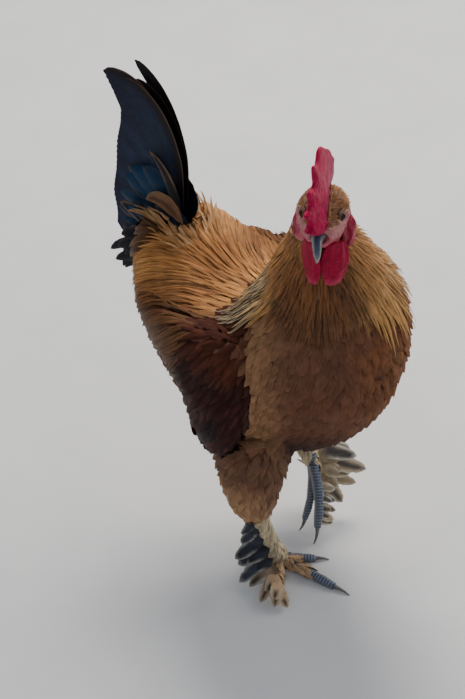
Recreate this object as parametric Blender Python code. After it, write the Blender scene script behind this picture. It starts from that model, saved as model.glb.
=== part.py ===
"""A feather-legged cock, life size, caught in mid-stride.

Metres, +Z up, floor at z = 0. The bird walks towards -Y, so its right side is -X. Every solid is the outer
form of the plumage or of the bare part that it is named for. The tables are in centimetres and are scaled by
CM as they are read. Neighbours that would meet are parted by GAP: body sections end in flat cuts, and the
other joints are carved with a copy of the neighbour grown by GAP.
"""

import math

import bmesh
import bpy
import numpy as np
from mathutils import Matrix, Vector

CM = 0.01
GAP = 0.0005
SIDES = ((-1, "right"), (1, "left"))

# ---------------------------------------------------------------- driving dimensions, in centimetres

# Sections of trunk and neck, from tail root to throat, each from a point on the back to one on the breast:
# back y, back z, breast y, breast z, half width, lean (how far the widest level sits above the middle), and
# the neck's turn in degrees and shift along x, as the bird looks round to its right.
BODY = [
    (18.2, 38.4, 19.4, 32.6, 3.2, 0.0, 0, 0.0),
    (15.2, 38.4, 17.6, 28.4, 6.4, 0.15, 0, 0.0),
    (11.6, 36.7, 13.4, 22.8, 8.5, 0.22, 0, 0.0),
    (7.6, 35.3, 7.0, 17.6, 9.5, 0.16, 0, 0.0),
    (4.2, 35.2, -0.4, 15.4, 10.1, 0.22, 0, 0.0),
    (2.2, 36.4, -6.8, 18.2, 9.8, 0.38, 0, 0.0),
    (1.0, 38.6, -11.3, 23.0, 9.8, 0.32, 0, 0.0),
    (-0.2, 41.0, -14.1, 28.4, 9.6, 0.16, -5, 0.1),
    (-1.6, 43.6, -13.7, 34.0, 8.0, 0.0, -15, -0.6),
    (-2.9, 46.0, -12.6, 40.0, 5.9, 0.0, -30, -2.0),
    (-4.2, 48.4, -11.6, 44.6, 4.1, 0.0, -42, -3.1),
    (-5.0, 51.2, -10.7, 48.2, 2.8, 0.0, -48, -3.7),
    (-6.0, 53.4, -10.0, 51.0, 2.2, 0.0, -54, -4.1),
]
SECTION_STEPS = 2
SECTION_SPACING = 3.0
BODY_SIDES = 18
# The weight is carried over the right foot: trunk, wings, tail and head are moved by this much from midway.
CARRIED = (-0.5, -0.5, 0.6)
# The tables' own x and y at the middle of the whole bird in plan, which is the part's origin.
PLAN_MIDDLE = (-0.11, 4.94)
# Where the body is parted, as places along BODY: rump, back and belly, breast, lower neck, upper neck.
BODY_PARTS = {
    "rump": (0, 2),
    "trunk": (2, 5),
    "breast": (5, 7.34),
    "neck_lower": (7.34, 9),
    "neck_upper": (9, 12),
}

HEAD_AT = (-4.13, -8.58, 51.9)
HEAD_TURN = -54.0
# Head sections in the head's own frame, which faces -Y: y, top z, bottom z, half width.
HEAD = [
    (3.1, 0.9, -1.2, 0.9),
    (2.3, 2.0, -2.2, 2.1),
    (0.9, 2.6, -2.6, 2.5),
    (-0.7, 2.4, -2.6, 2.2),
    (-2.0, 1.8, -2.4, 1.75),
    (-3.0, 0.9, -1.7, 1.15),
]
HEAD_LEAN = 0.14
EYE_AT, EYE_RADIUS = (1.72, -0.95, 0.6), 0.48
# Wattles on each side: middle's x, and how far the lobe lies across the face rather than along it.
WATTLES = {"right": (-1.1, 0.55), "left": (1.55, 0.85)}

# Side outline of the wing: y, top z, bottom z, x of its middle, half thickness.
WING = [
    (-4.6, 33.4, 28.4, 9.6, 0.5),
    (-3.4, 35.0, 22.6, 10.3, 0.9),
    (-1.6, 35.8, 19.9, 10.8, 1.2),
    (0.5, 35.8, 19.2, 11.0, 1.2),
    (2.3, 35.4, 20.6, 10.9, 1.1),
    (3.8, 35.0, 24.6, 10.7, 1.0),
    (6.5, 34.4, 27.8, 10.2, 0.9),
    (9.6, 33.8, 29.2, 9.3, 0.7),
    (12.8, 33.4, 30.6, 8.2, 0.4),
]

# Tail feathers on each side, inner layer first: root y, z, tip y, z, bow towards the head, width.
TAIL = [
    (16.8, 33.6, 24.6, 32.2, 0.2, 3.4),
    (16.8, 34.6, 24.7, 36.0, 0.6, 3.8),
    (16.6, 35.4, 24.2, 40.4, 1.2, 3.9),
    (16.2, 36.0, 23.3, 44.8, 1.9, 3.9),
    (15.8, 36.6, 22.6, 48.4, 2.6, 3.6),
    (15.6, 37.0, 25.0, 51.8, 4.2, 3.0),
]
# The last main feather on the left stands steeper than its pair.
LEFT_LAST = (15.6, 37.0, 22.4, 51.0, 3.2, 3.0)
SICKLE = (15.2, 37.2, 22.2, 53.2, 3.0, 2.2)
COVERTS = [(15.4, 35.6, 21.6, 41.6, 0.6, 4.2), (14.7, 37.4, 18.2, 44.9, 0.4, 2.6)]
# How far the bow sits towards the tip, as a share of the bow.
TAIL_SWEEP = 0.45
# Drooping feathers beside the tail's base: root x, y, z and tip x, y, z.
SIDE_COVERT = ((3.4, 17.4, 34.4), (4.3, 20.9, 32.2))
TAIL_ROOT = (16.0, 36.0)
TAIL_THICK = 0.09
TAIL_PITCH = 0.12


def carried(x, y, z):
    """A point of the trunk, wings, tail or head, in metres."""
    return Vector(((x + CARRIED[0]) * CM, (y + CARRIED[1]) * CM, (z + CARRIED[2]) * CM))


# ---------------------------------------------------------------- Blender helpers


def clear_scene():
    for obj in list(bpy.data.objects):
        bpy.data.objects.remove(obj, do_unlink=True)


def material(name, colour, roughness, metallic=0.0):
    made = bpy.data.materials.new(name)
    made.use_nodes = True
    shader = made.node_tree.nodes["Principled BSDF"]
    shader.inputs["Base Color"].default_value = (*colour, 1.0)
    shader.inputs["Roughness"].default_value = roughness
    shader.inputs["Metallic"].default_value = metallic
    return made


def add_object(name, mesh, skin, parent=None):
    mesh.materials.append(skin)
    mesh.shade_smooth()
    mesh.set_sharp_from_angle(angle=math.radians(40))
    obj = bpy.data.objects.new(name, mesh)
    bpy.context.scene.collection.objects.link(obj)
    if parent is not None:
        obj.parent = parent
    return obj


def mesh_of(name, points, faces):
    mesh = bpy.data.meshes.new(name)
    mesh.from_pydata([tuple(p) for p in points], [], faces)
    bm = bmesh.new()
    bm.from_mesh(mesh)
    bmesh.ops.recalc_face_normals(bm, faces=bm.faces)
    bm.to_mesh(mesh)
    bm.free()
    return mesh


def empty(name, location, turn=0.0):
    made = bpy.data.objects.new(name, None)
    made.location = location
    made.rotation_euler = (0, 0, math.radians(turn))
    bpy.context.scene.collection.objects.link(made)
    return made


def flat_cut(obj, height):
    """Planes the object off at this height, so that it stands on a flat."""
    bm = bmesh.new()
    bm.from_mesh(obj.data)
    geometry = bm.verts[:] + bm.edges[:] + bm.faces[:]
    cut = bmesh.ops.bisect_plane(
        bm, geom=geometry, dist=1e-6, plane_co=(0, 0, height), plane_no=(0, 0, -1), clear_outer=True
    )
    rim = [e for e in cut["geom_cut"] if isinstance(e, bmesh.types.BMEdge)]
    bmesh.ops.contextual_create(bm, geom=rim)
    bmesh.ops.recalc_face_normals(bm, faces=bm.faces)
    bm.to_mesh(obj.data)
    bm.free()


def cutter_of(name, mesh, parent=None):
    """An object that only cuts others."""
    cutter = bpy.data.objects.new(name, mesh)
    cutter.parent = parent
    cutter.hide_render = True
    cutter.display_type = "WIRE"
    bpy.context.scene.collection.objects.link(cutter)
    return cutter


def grown_copy(other):
    """A cutter of the object's shape, GAP larger all round."""
    mesh = other.data.copy()
    bm = bmesh.new()
    bm.from_mesh(mesh)
    bm.normal_update()
    grown = [v.co + v.normal * GAP * min(2.0, v.calc_shell_factor()) for v in bm.verts]
    for vert, place in zip(bm.verts, grown):
        vert.co = place
    bm.to_mesh(mesh)
    bm.free()
    return cutter_of("cut_" + other.name, mesh, other.parent)


def cut_out(obj, cutter):
    cut = obj.modifiers.new("room_for_" + cutter.name, "BOOLEAN")
    cut.operation = "DIFFERENCE"
    cut.solver = "EXACT"
    cut.object = cutter


def carve(obj, *neighbours):
    """Cuts room for each neighbour from the object, GAP wider than the neighbour."""
    for other in neighbours:
        cut_out(obj, bpy.data.objects.get("cut_" + other.name) or grown_copy(other))


# ---------------------------------------------------------------- shapes


def smooth_rows(rows, steps):
    """Rows read along a Catmull-Rom curve through the given rows, `steps` to each stretch."""
    rows = np.array(rows, float)
    padded = np.vstack([2 * rows[0] - rows[1], rows, 2 * rows[-1] - rows[-2]])
    out = []
    for i in range(1, len(padded) - 2):
        a, b, c, d = padded[i - 1 : i + 3]
        for k in range(steps):
            t = k / steps
            bend = (2 * a - 5 * b + 4 * c - d) * t * t + (3 * b - a - 3 * c + d) * t**3
            out.append(b + 0.5 * ((c - a) * t + bend))
    out.append(rows[-1])
    return np.array(out)


def loft(name, rings, skin, parent=None):
    """A closed solid through rings of equally many points, with flat ends."""
    sides = len(rings[0])
    points = [p for ring in rings for p in ring]
    faces = []
    for i in range(len(rings) - 1):
        for j in range(sides):
            k = (j + 1) % sides
            faces.append((i * sides + j, i * sides + k, (i + 1) * sides + k, (i + 1) * sides + j))
    faces.append(tuple(range(sides)))
    faces.append(tuple(range((len(rings) - 1) * sides, len(rings) * sides)))
    return add_object(name, mesh_of(name, points, faces), skin, parent)


def leaf(name, grid, thickness, skin, parent=None):
    """A closed thin solid about a grid of points, such as a feather's vane or a comb's blade."""
    grid = np.array(grid, float)
    rows, columns = grid.shape[:2]
    thickness = np.broadcast_to(np.array(thickness, float), (rows, columns))
    normal = np.cross(np.gradient(grid, axis=0), np.gradient(grid, axis=1))
    normal /= np.linalg.norm(normal, axis=2, keepdims=True)
    offset = normal * thickness[..., None] / 2
    points = np.vstack([(grid + offset).reshape(-1, 3), (grid - offset).reshape(-1, 3)])
    under = rows * columns
    faces = []
    for i in range(rows - 1):
        for j in range(columns - 1):
            a, b = i * columns + j, (i + 1) * columns + j
            faces.append((a, a + 1, b + 1, b))
            faces.append((under + a, under + b, under + b + 1, under + a + 1))
    rim = [j for j in range(columns)]
    rim += [i * columns + columns - 1 for i in range(1, rows)]
    rim += [(rows - 1) * columns + j for j in range(columns - 2, -1, -1)]
    rim += [i * columns for i in range(rows - 2, 0, -1)]
    for a, b in zip(rim, rim[1:] + rim[:1]):
        faces.append((a, under + a, under + b, b))
    return add_object(name, mesh_of(name, points, faces), skin, parent)


def tube(name, path, skin, sides=10):
    """A round tapered solid along rows of x, y, z, radius."""
    rows = np.array(path, float)
    whole = rows[-1, :3] - rows[0, :3]
    steep = abs(whole[2]) > 0.6 * np.linalg.norm(whole)
    across = (0, 1, 0) if steep else (0, 0, 1)
    rings = []
    for i, row in enumerate(rows):
        ahead = rows[min(i + 1, len(rows) - 1), :3] - rows[max(i - 1, 0), :3]
        ahead /= np.linalg.norm(ahead)
        side = np.cross(ahead, across)
        side /= np.linalg.norm(side)
        up = np.cross(side, ahead)
        ring = []
        for k in range(sides):
            angle = 2 * math.pi * k / sides
            ring.append(row[:3] + row[3] * (side * math.cos(angle) + up * math.sin(angle)))
        rings.append(ring)
    return loft(name, rings, skin)


# ---------------------------------------------------------------- body


def body_ring(row):
    """One egg-shaped section of trunk or neck."""
    back_y, back_z, front_y, front_z, half_width, lean, turn, shift = row
    back, front = np.array((0, back_y, back_z)), np.array((0, front_y, front_z))
    middle, up = (back + front) / 2, (back - front) / 2
    turned = Matrix.Rotation(math.radians(turn), 3, "Z")
    ring = []
    for k in range(BODY_SIDES):
        angle = 2 * math.pi * k / BODY_SIDES
        x = half_width * math.sin(angle) * (1 + lean * math.cos(angle))
        off = turned @ Vector(up * math.cos(angle) + np.array((x, 0, 0)))
        ring.append(carried(*(np.array(off) + middle + np.array((shift, 0, 0)))))
    return np.array(ring)


def body_sections(skin):
    """Trunk and neck in one smooth run of sections, parted at the places in BODY_PARTS."""
    rows = smooth_rows(BODY, SECTION_STEPS)
    places = np.arange(len(rows)) / SECTION_STEPS
    inset = 0.5 * GAP / CM / SECTION_SPACING
    made = {}
    for name, (start, end) in BODY_PARTS.items():
        wanted = [start + inset, *places[(places > start + 0.12) & (places < end - 0.12)], end - inset]
        rings = []
        for at in wanted:
            row = [np.interp(at, places, rows[:, c]) for c in range(rows.shape[1])]
            rings.append(body_ring(row))
        made[name] = loft(name, rings, skin)
    return made


def head_parts(plumage, comb_skin, horn, eye_skin):
    frame = empty("head_frame", carried(*HEAD_AT), HEAD_TURN)
    rings = []
    for y, top, bottom, half in smooth_rows(HEAD, 2):
        ring = []
        for k in range(14):
            angle = 2 * math.pi * k / 14
            z = (top + bottom) / 2 + (top - bottom) / 2 * math.cos(angle)
            x = half * math.sin(angle) * (1 - HEAD_LEAN * math.cos(angle))
            ring.append((x * CM, y * CM, z * CM))
        rings.append(ring)
    head = loft("head", rings, plumage, frame)
    beaks = [beak("beak_upper", 1, horn, frame), beak("beak_lower", -1, horn, frame)]
    crest = comb(comb_skin, frame)
    sides = []
    for side, word in SIDES:
        sides.append(eye("eye_" + word, side, eye_skin, frame))
        sides.append(earlobe("earlobe_" + word, side, comb_skin, frame))
    wattles = [wattle("wattle_" + word, word, comb_skin, frame) for word in WATTLES]
    carve(head, crest, *beaks, *sides, *wattles)
    carve(crest, beaks[0])
    for lobe in wattles:
        carve(lobe, *beaks)
    return head, [*sides, *wattles]


def beak(name, way, skin, frame):
    """Upper half (way 1), hooked over the lower one (way -1). The cut between them curves down."""
    length, half, deep = (2.9, 1.0, 0.85) if way > 0 else (2.0, 0.8, 0.6)
    base_y, gape_z, hook, whole = -2.3, -0.7, 1.3, 2.9
    rings = []
    for i in range(7):
        t = i / 6
        taper = (1 - t**1.6) * 0.94 + 0.06
        y = base_y - length * t
        z = gape_z - hook * (length * t / whole) ** 1.5 + way * GAP / CM / 2
        ring = []
        for k in range(7):
            angle = math.pi * k / 6
            x, rise = half * taper * math.cos(angle), way * deep * taper * math.sin(angle)
            ring.append((x * CM, y * CM, (z + rise) * CM))
        rings.append(ring)
    return loft(name, rings, skin, frame)


def comb(skin, frame):
    """A single upright comb: a blade fanned about a point in the skull, its rim cut into points. Its front
    leans to the right above the beak, and its rear to the left."""
    centre_y, centre_z, points = 0.3, 0.2, 6
    last = math.radians(152)
    columns = points * 2 + 1
    grid, thick = [], []
    for j in range(columns):
        share = j / (columns - 1)
        angle = last * share
        tooth = 0.5 - 0.5 * math.cos(2 * math.pi * points * share)
        swell = math.sin(math.pi * (0.05 + 0.87 * share**1.15)) ** 0.8
        rim = 3.9 + 1.7 * swell + (0.3 + 0.6 * swell) * tooth
        upright = min(1, max(0, (share - 0.45) / 0.3))
        lean = 0.9 * upright - 0.5 - 0.6 * math.exp(-(((share - 0.23) / 0.14) ** 2))
        root = 2.4 - 0.5 * math.sin(math.pi * share)
        column, widths = [], []
        for i in range(4):
            t = i / 3
            r = root + (rim - root) * t
            y, z = centre_y - r * math.cos(angle), centre_z + r * math.sin(angle)
            column.append((lean * t * CM, y * CM, z * CM))
            widths.append((1.0 - 0.55 * t) * (1.5 - 0.8 * share) * CM)
        grid.append(column)
        thick.append(widths)
    return leaf("comb", grid, thick, skin, frame)


def wattle(name, word, skin, frame):
    """A pendent lobe below the beak's corner."""
    middle, across = WATTLES[word]
    side = math.copysign(1, middle)
    grid, thick = [], []
    for i in range(6):
        t = i / 5
        z = -1.3 - 5.0 * t
        half = 0.4 + 1.15 * math.sin(math.pi * (0.1 + 0.82 * t)) ** 0.8
        row, widths = [], []
        for j in range(5):
            u = j / 2 - 1
            x = middle - side * 0.2 * t + side * half * across * u
            y = -2.6 + half * (1.2 - across) * u + 0.25 * u * u
            row.append((x * CM, y * CM, z * CM))
            widths.append((0.62 - 0.3 * abs(u) - 0.15 * t) * CM)
        grid.append(row)
        thick.append(widths)
    return leaf(name, grid, thick, skin, frame)


def earlobe(name, side, skin, frame):
    """A flat lobe hanging behind and below the eye."""
    grid, thick = [], []
    for i in range(5):
        t = i / 4
        half = 0.25 + 0.55 * math.sin(math.pi * (0.08 + 0.84 * t))
        row, widths = [], []
        for j in range(5):
            u = j / 2 - 1
            x, y, z = 2.75 - 0.12 * u * u, 0.3 + half * u, -0.1 - 3.2 * t
            row.append((side * x * CM, y * CM, z * CM))
            widths.append((0.5 - 0.22 * abs(u)) * CM)
        grid.append(row)
        thick.append(widths)
    return leaf(name, grid, thick, skin, frame)


def eye(name, side, skin, frame):
    mesh = bpy.data.meshes.new(name)
    bm = bmesh.new()
    x, y, z = EYE_AT
    place = Matrix.Translation((side * x * CM, y * CM, z * CM))
    bmesh.ops.create_uvsphere(bm, u_segments=10, v_segments=7, radius=EYE_RADIUS * CM, matrix=place)
    bm.to_mesh(mesh)
    bm.free()
    return add_object(name, mesh, skin, frame)


# ---------------------------------------------------------------- wings and tail


def wing(name, side, skin):
    rings = []
    for y, top, bottom, middle, thick in smooth_rows(WING, 2):
        ring = []
        for k in range(12):
            angle = 2 * math.pi * k / 12
            level = math.cos(angle)
            z = (top + bottom) / 2 + (top - bottom) / 2 * level
            x = middle - 0.07 * (top - bottom) * level * level + thick * math.sin(angle)
            ring.append(carried(side * x, y, z))
        rings.append(ring)
    return loft(name, rings, skin)


def tail_splay(y, z):
    """How far a tail feather stands off the middle plane: the two fans part as they leave the root."""
    return 0.012 * math.hypot(y - TAIL_ROOT[0], z - TAIL_ROOT[1])


def tail_feather(name, side, layer, row, skin):
    """One long feather in the fan on one side. Each lies in a layer of its own, so none meets another."""
    root_y, root_z, tip_y, tip_z, bow, width = row
    root, tip = np.array((root_y, root_z)), np.array((tip_y, tip_z))
    along = (tip - root) / np.linalg.norm(tip - root)
    forward = np.array((-along[1], along[0]))
    middle = (root + tip) / 2 + 2 * bow * (forward + TAIL_SWEEP * along)
    steps, across = 7, 3
    grid = []
    for i in range(steps):
        t = i / (steps - 1)
        centre = root * (1 - t) ** 2 + middle * 2 * t * (1 - t) + tip * t * t
        slope = (middle - root) * (1 - t) + (tip - middle) * t
        slope /= np.linalg.norm(slope)
        blunt = math.sqrt(max(0.05, 1 - max(0, (t - 0.72) / 0.3) ** 2))
        half = width / 2 * (0.35 + 0.65 * min(1, 3 * t)) * blunt
        row = []
        for j in range(across):
            py, pz = centre + (2 * j / (across - 1) - 1) * half * np.array((-slope[1], slope[0]))
            x = 0.14 + layer * TAIL_PITCH + tail_splay(py, pz)
            row.append(carried(side * x, py, pz))
        grid.append(row)
    return leaf(name, grid, TAIL_THICK * CM, skin)


def side_covert(name, side, skin):
    """A short broad feather hanging beside the tail's base."""
    root, tip = np.array(SIDE_COVERT[0]), np.array(SIDE_COVERT[1])
    grid = []
    for i in range(6):
        t = i / 5
        half = 1.9 * math.sin(math.pi * (0.22 + 0.7 * t))
        row = []
        for j in range(3):
            x, y, z = root * (1 - t) + tip * t + np.array((0.1, 0.25, 1.0)) * half * (j - 1)
            row.append(carried(side * x, y, z + 0.5 * math.sin(math.pi * t)))
        grid.append(row)
    return leaf(name, grid, TAIL_THICK * CM, skin)


def tail(dark, sheen):
    """Six pairs of main feathers, a pair of sickles and two pairs of coverts, inner layers first."""
    made = []
    for side, word in SIDES:
        rows = TAIL if side < 0 else TAIL[:-1] + [LEFT_LAST]
        for i, row in enumerate(rows):
            made.append(tail_feather(f"tail_{word}_{i + 1}", side, i, row, dark))
        made.append(tail_feather(f"sickle_{word}", side, len(TAIL), SICKLE, dark))
        for i, row in enumerate(COVERTS):
            made.append(tail_feather(f"tail_covert_{word}_{i + 1}", side, len(TAIL) + 1 + i, row, sheen))
        made.append(side_covert(f"tail_covert_{word}_3", side, sheen))
    return made


def tail_slot():
    """The cut in the rump that the tail's roots stand in."""
    half = 0.14 + (len(TAIL) + len(COVERTS) + 1) * TAIL_PITCH + 0.1
    low, high = carried(-half, 14.2, 31.3), carried(half, 22.0, 41.0)
    mesh = bpy.data.meshes.new("tail_slot")
    bm = bmesh.new()
    size = high - low
    place = Matrix.Translation((low + high) / 2) @ Matrix.Diagonal((*size, 1.0))
    bmesh.ops.create_cube(bm, size=1.0, matrix=place)
    bm.to_mesh(mesh)
    bm.free()
    return cutter_of("tail_slot", mesh)


# ---------------------------------------------------------------- legs

# x, y, z, radius down each feathered thigh and bare shank.
RIGHT_THIGH = [
    (-5.2, -1.0, 21.5, 4.6),
    (-5.5, -1.2, 18.4, 4.4),
    (-5.6, -1.2, 15.4, 4.0),
    (-5.6, -1.2, 12.6, 3.4),
    (-5.5, -1.4, 10.2, 2.7),
    (-5.2, -1.7, 8.4, 1.9),
]
RIGHT_SHANK = [
    (-5.1, -1.5, 9.0, 0.9),
    (-4.6, -2.0, 6.6, 0.72),
    (-3.8, -2.6, 3.4, 0.7),
    (-3.1, -3.0, 1.3, 0.95),
    (-3.0, -3.1, 0.6, 0.8),
]
LEFT_THIGH = [
    (4.6, 0.8, 20.5, 3.9),
    (5.3, 2.6, 17.8, 3.7),
    (5.9, 4.6, 15.6, 3.0),
    (6.1, 6.2, 14.0, 2.2),
    (6.2, 7.0, 13.2, 1.6),
]
LEFT_SHANK = [
    (6.2, 7.2, 13.4, 0.9),
    (6.1, 5.4, 12.1, 0.72),
    (5.9, 2.6, 10.1, 0.7),
    (5.8, 0.7, 8.7, 0.95),
    (5.8, 0.0, 7.6, 0.75),
]
RIGHT_FOOT, LEFT_FOOT = (-3.0, -3.1, 0.62), (5.8, 0.2, 8.1)
# Each toe's tip, flesh radius, claw length, and how far it bows up between the foot and the tip.
RIGHT_TOES = {
    "middle": (-1.3, -12.3, 0.04, 0.68, 2.0, 0.12),
    "inner": (1.2, -7.0, 0.04, 0.6, 1.6, 0.12),
    "outer": (-7.2, -6.8, 0.04, 0.6, 1.6, 0.12),
    "hind": (-2.3, 1.8, 0.04, 0.5, 1.6, 0.12),
}
LEFT_TOES = {
    "middle": (1.8, -4.1, -0.03, 0.66, 2.0, 0.9),
    "inner": (2.3, -1.4, -0.03, 0.58, 1.6, 0.8),
    "outer": (6.8, 0.3, -0.03, 0.58, 1.6, 0.5),
    "hind": (6.8, 3.2, 5.2, 0.48, 1.4, 0.5),
}
# Rows of root and edge points down each foot's feather fan.
RIGHT_FAN = [
    ((-5.5, -1.4, 7.4), (-6.4, -0.4, 6.6)),
    ((-5.2, -1.7, 5.8), (-6.8, 0.0, 4.4)),
    ((-4.8, -2.4, 3.6), (-8.0, -0.2, 2.4)),
    ((-4.9, -3.4, 1.8), (-9.2, -1.8, 1.0)),
    ((-5.6, -4.7, 1.5), (-9.7, -4.6, 0.7)),
    ((-6.6, -6.2, 1.3), (-9.3, -7.4, 0.6)),
    ((-7.0, -6.9, 1.0), (-8.0, -8.8, 0.5)),
]
LEFT_FAN = [
    ((6.9, 4.6, 11.8), (9.4, 3.4, 11.2)),
    ((6.8, 2.6, 10.4), (12.3, -2.6, 8.6)),
    ((6.8, 0.9, 8.8), (12.1, -4.2, 6.8)),
    ((6.9, -0.6, 7.0), (11.0, -4.5, 4.2)),
    ((7.1, -0.6, 5.0), (9.6, -4.2, 2.2)),
    ((7.3, -0.5, 3.4), (7.8, -3.8, 0.9)),
]


def toe(name, foot_at, row, scale_skin, horn):
    """A toe and its claw, from the foot to the claw's tip, with flats where they reach the floor."""
    *tip, radius, nail, bow = row
    start, tip = np.array(foot_at, float), np.array(tip, float)
    reach = tip - start
    length = np.linalg.norm(reach)
    ahead = reach / length
    up = np.array((0, 0, 1)) - ahead * ahead[2]
    if foot_at is LEFT_FOOT:
        up = np.array((0.0, -1.0, 0.0)) - ahead * -ahead[1]
    up /= np.linalg.norm(up)
    join = 1 - nail / length
    flesh = []
    for i in range(6):
        t = 0.7 / length + (join - 0.7 / length) * i / 5
        knuckle = 1.05 - 0.1 * (i % 2) - (0.1 if i == 5 else 0)
        centre = start + reach * t + up * bow * 4 * t * (1 - t)
        flesh.append((*(centre * CM), radius * (1 - 0.36 * t) * knuckle * CM))
    claw = []
    for i in range(4):
        t = join - 0.15 / length + (1 - join + 0.15 / length) * i / 3
        centre = start + reach * t + up * bow * 4 * t * (1 - t) + up * 0.12 * math.sin(math.pi * i / 3)
        claw.append((*(centre * CM), 0.29 * (1 - 0.78 * i / 3) * CM))
    made = tube("toe_" + name, flesh, scale_skin, sides=8), tube("claw_" + name, claw, horn, sides=6)
    for obj in made:
        if min(v.co.z for v in obj.data.vertices) < 0:
            flat_cut(obj, 0.0)
    return made


def foot(word, foot_at, toes, shank, scale_skin, horn):
    """Four toes and their claws round the foot of the shank."""
    placed = []
    for toe_name, row in toes.items():
        flesh, nail = toe(f"{toe_name}_{word}", foot_at, row, scale_skin, horn)
        carve(flesh, nail, shank, *placed)
        placed.append(flesh)


def fan(name, rows, skin):
    """The stiff feathers that stand out from the shank's outer side and the outer toe, as one thin fan."""
    grid, thick = [], []
    for root, edge in smooth_fan(rows):
        cells = []
        for j in range(4):
            t = j / 3
            cells.append(tuple((root * (1 - t) + edge * t + np.array((0, 0, 0.5 * t * (1 - t)))) * CM))
        grid.append(cells)
        thick.append([(0.34 - 0.2 * j / 3) * CM for j in range(4)])
    return leaf(name, grid, thick, skin)


def smooth_fan(rows):
    flat = smooth_rows([(*root, *edge) for root, edge in rows], 2)
    return [(row[:3], row[3:]) for row in flat]


def centre_in_plan():
    for obj in bpy.data.objects:
        if obj.parent is None:
            obj.location.x -= PLAN_MIDDLE[0] * CM
            obj.location.y -= PLAN_MIDDLE[1] * CM


def main():
    clear_scene()
    plumage = material("plumage", (0.42, 0.17, 0.05), 0.7)
    chestnut = material("wing_plumage", (0.16, 0.04, 0.02), 0.6)
    dark = material("tail_plumage", (0.02, 0.03, 0.05), 0.4)
    sheen = material("tail_coverts", (0.03, 0.12, 0.16), 0.35)
    comb_skin = material("comb", (0.55, 0.03, 0.06), 0.5)
    scale_skin = material("scales", (0.25, 0.3, 0.36), 0.45)
    horn = material("horn", (0.2, 0.2, 0.22), 0.35)
    eye_skin = material("eye", (0.25, 0.08, 0.02), 0.1)

    body = body_sections(plumage)
    head, lobes = head_parts(plumage, comb_skin, horn, eye_skin)
    carve(body["neck_upper"], head, *lobes)
    wings = {side: wing(f"wing_{word}", side, chestnut) for side, word in SIDES}
    tails = tail(dark, sheen)

    thigh_right = tube("thigh_right", np.array(RIGHT_THIGH) * CM, plumage, sides=16)
    thigh_left = tube("thigh_left", np.array(LEFT_THIGH) * CM, plumage, sides=16)
    shank_right = tube("shank_right", np.array(RIGHT_SHANK) * CM, scale_skin, sides=12)
    shank_left = tube("shank_left", np.array(LEFT_SHANK) * CM, scale_skin, sides=12)
    foot("right", RIGHT_FOOT, RIGHT_TOES, shank_right, scale_skin, horn)
    foot("left", LEFT_FOOT, LEFT_TOES, shank_left, scale_skin, horn)
    fan("foot_feathers_right", RIGHT_FAN, plumage)
    fan("foot_feathers_left", LEFT_FAN, plumage)
    for name in ("trunk", "breast", "rump"):
        carve(body[name], *wings.values(), thigh_right, thigh_left)
    cut_out(body["rump"], tail_slot())
    carve(body["rump"], *[obj for obj in tails if obj.name.endswith("_3") and "covert" in obj.name])
    carve(thigh_right, shank_right)
    carve(thigh_left, shank_left)
    centre_in_plan()


main()
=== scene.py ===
import math

import bmesh
import bpy
import numpy as np
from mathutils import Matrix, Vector, kdtree, noise
from mathutils.bvhtree import BVHTree


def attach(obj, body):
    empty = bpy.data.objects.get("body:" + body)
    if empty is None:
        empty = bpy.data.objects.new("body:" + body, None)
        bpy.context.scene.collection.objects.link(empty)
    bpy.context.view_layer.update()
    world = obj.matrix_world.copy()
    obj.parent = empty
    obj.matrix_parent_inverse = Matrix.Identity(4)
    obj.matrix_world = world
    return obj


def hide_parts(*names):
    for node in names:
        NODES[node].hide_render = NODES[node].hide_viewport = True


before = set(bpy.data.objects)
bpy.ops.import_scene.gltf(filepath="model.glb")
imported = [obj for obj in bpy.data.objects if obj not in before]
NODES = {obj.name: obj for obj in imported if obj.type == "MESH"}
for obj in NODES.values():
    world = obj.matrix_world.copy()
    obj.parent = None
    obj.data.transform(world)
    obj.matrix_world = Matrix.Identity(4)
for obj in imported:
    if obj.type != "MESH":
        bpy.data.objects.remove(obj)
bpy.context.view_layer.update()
CM = 0.01

# ---------------------------------------------------------------- colours, linear

GOLD, ORANGE, RUST = (0.60, 0.29, 0.085), (0.42, 0.155, 0.040), (0.20, 0.060, 0.020)
BREAST, CHESTNUT, BUFF = (0.165, 0.068, 0.038), (0.030, 0.013, 0.010), (0.43, 0.225, 0.105)
MAHOGANY, MAROON, COPPER = (0.034, 0.006, 0.004), (0.012, 0.003, 0.003), (0.11, 0.028, 0.012)
# The teal is a painted sheen: the green-blue shine of the black tail feathers, painted into their colour.
BLACK, NAVY, PAINTED_TEAL_SHEEN = (0.006, 0.006, 0.007), (0.003, 0.007, 0.032), (0.003, 0.034, 0.075)
CREAM, PEACH, SLATE = (0.62, 0.49, 0.31), (0.50, 0.26, 0.12), (0.060, 0.065, 0.080)
TAN, BROWN, PALE = (0.20, 0.100, 0.062), (0.14, 0.062, 0.034), (0.62, 0.49, 0.30)
ROSE, PINK = (0.54, 0.095, 0.130), (0.50, 0.185, 0.185)

# The head's centre and the way it turns, as in the part.
HEAD = np.array((-4.52, -14.02, 52.5)) * CM
HEAD_TURN = math.radians(-54)
# The body's middle plane, and the moves that take part.py's places for body and legs to the frame's, in
# centimetres.
MIDDLE = -0.39
BODY_SHIFT = np.array((MIDDLE, -5.44, 0.6))
LEG_SHIFT = np.array((0.11, -4.94, 0.0))
# The way the bird looks, in plan.
FACING = np.array((math.sin(HEAD_TURN), -math.cos(HEAD_TURN), 0.0))

# The nodes that the skin stands for, with the depth of the coat over each, in metres.
FLESH = {"head": 0.0035, "neck_upper": 0.0045, "neck_lower": 0.006, "breast": 0.007, "trunk": 0.007,
         "rump": 0.007, "thigh_left": 0.0055, "thigh_right": 0.0055, "wing_left": 0.004, "wing_right": 0.004}


def random(seed):
    return np.random.default_rng(seed)


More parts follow.
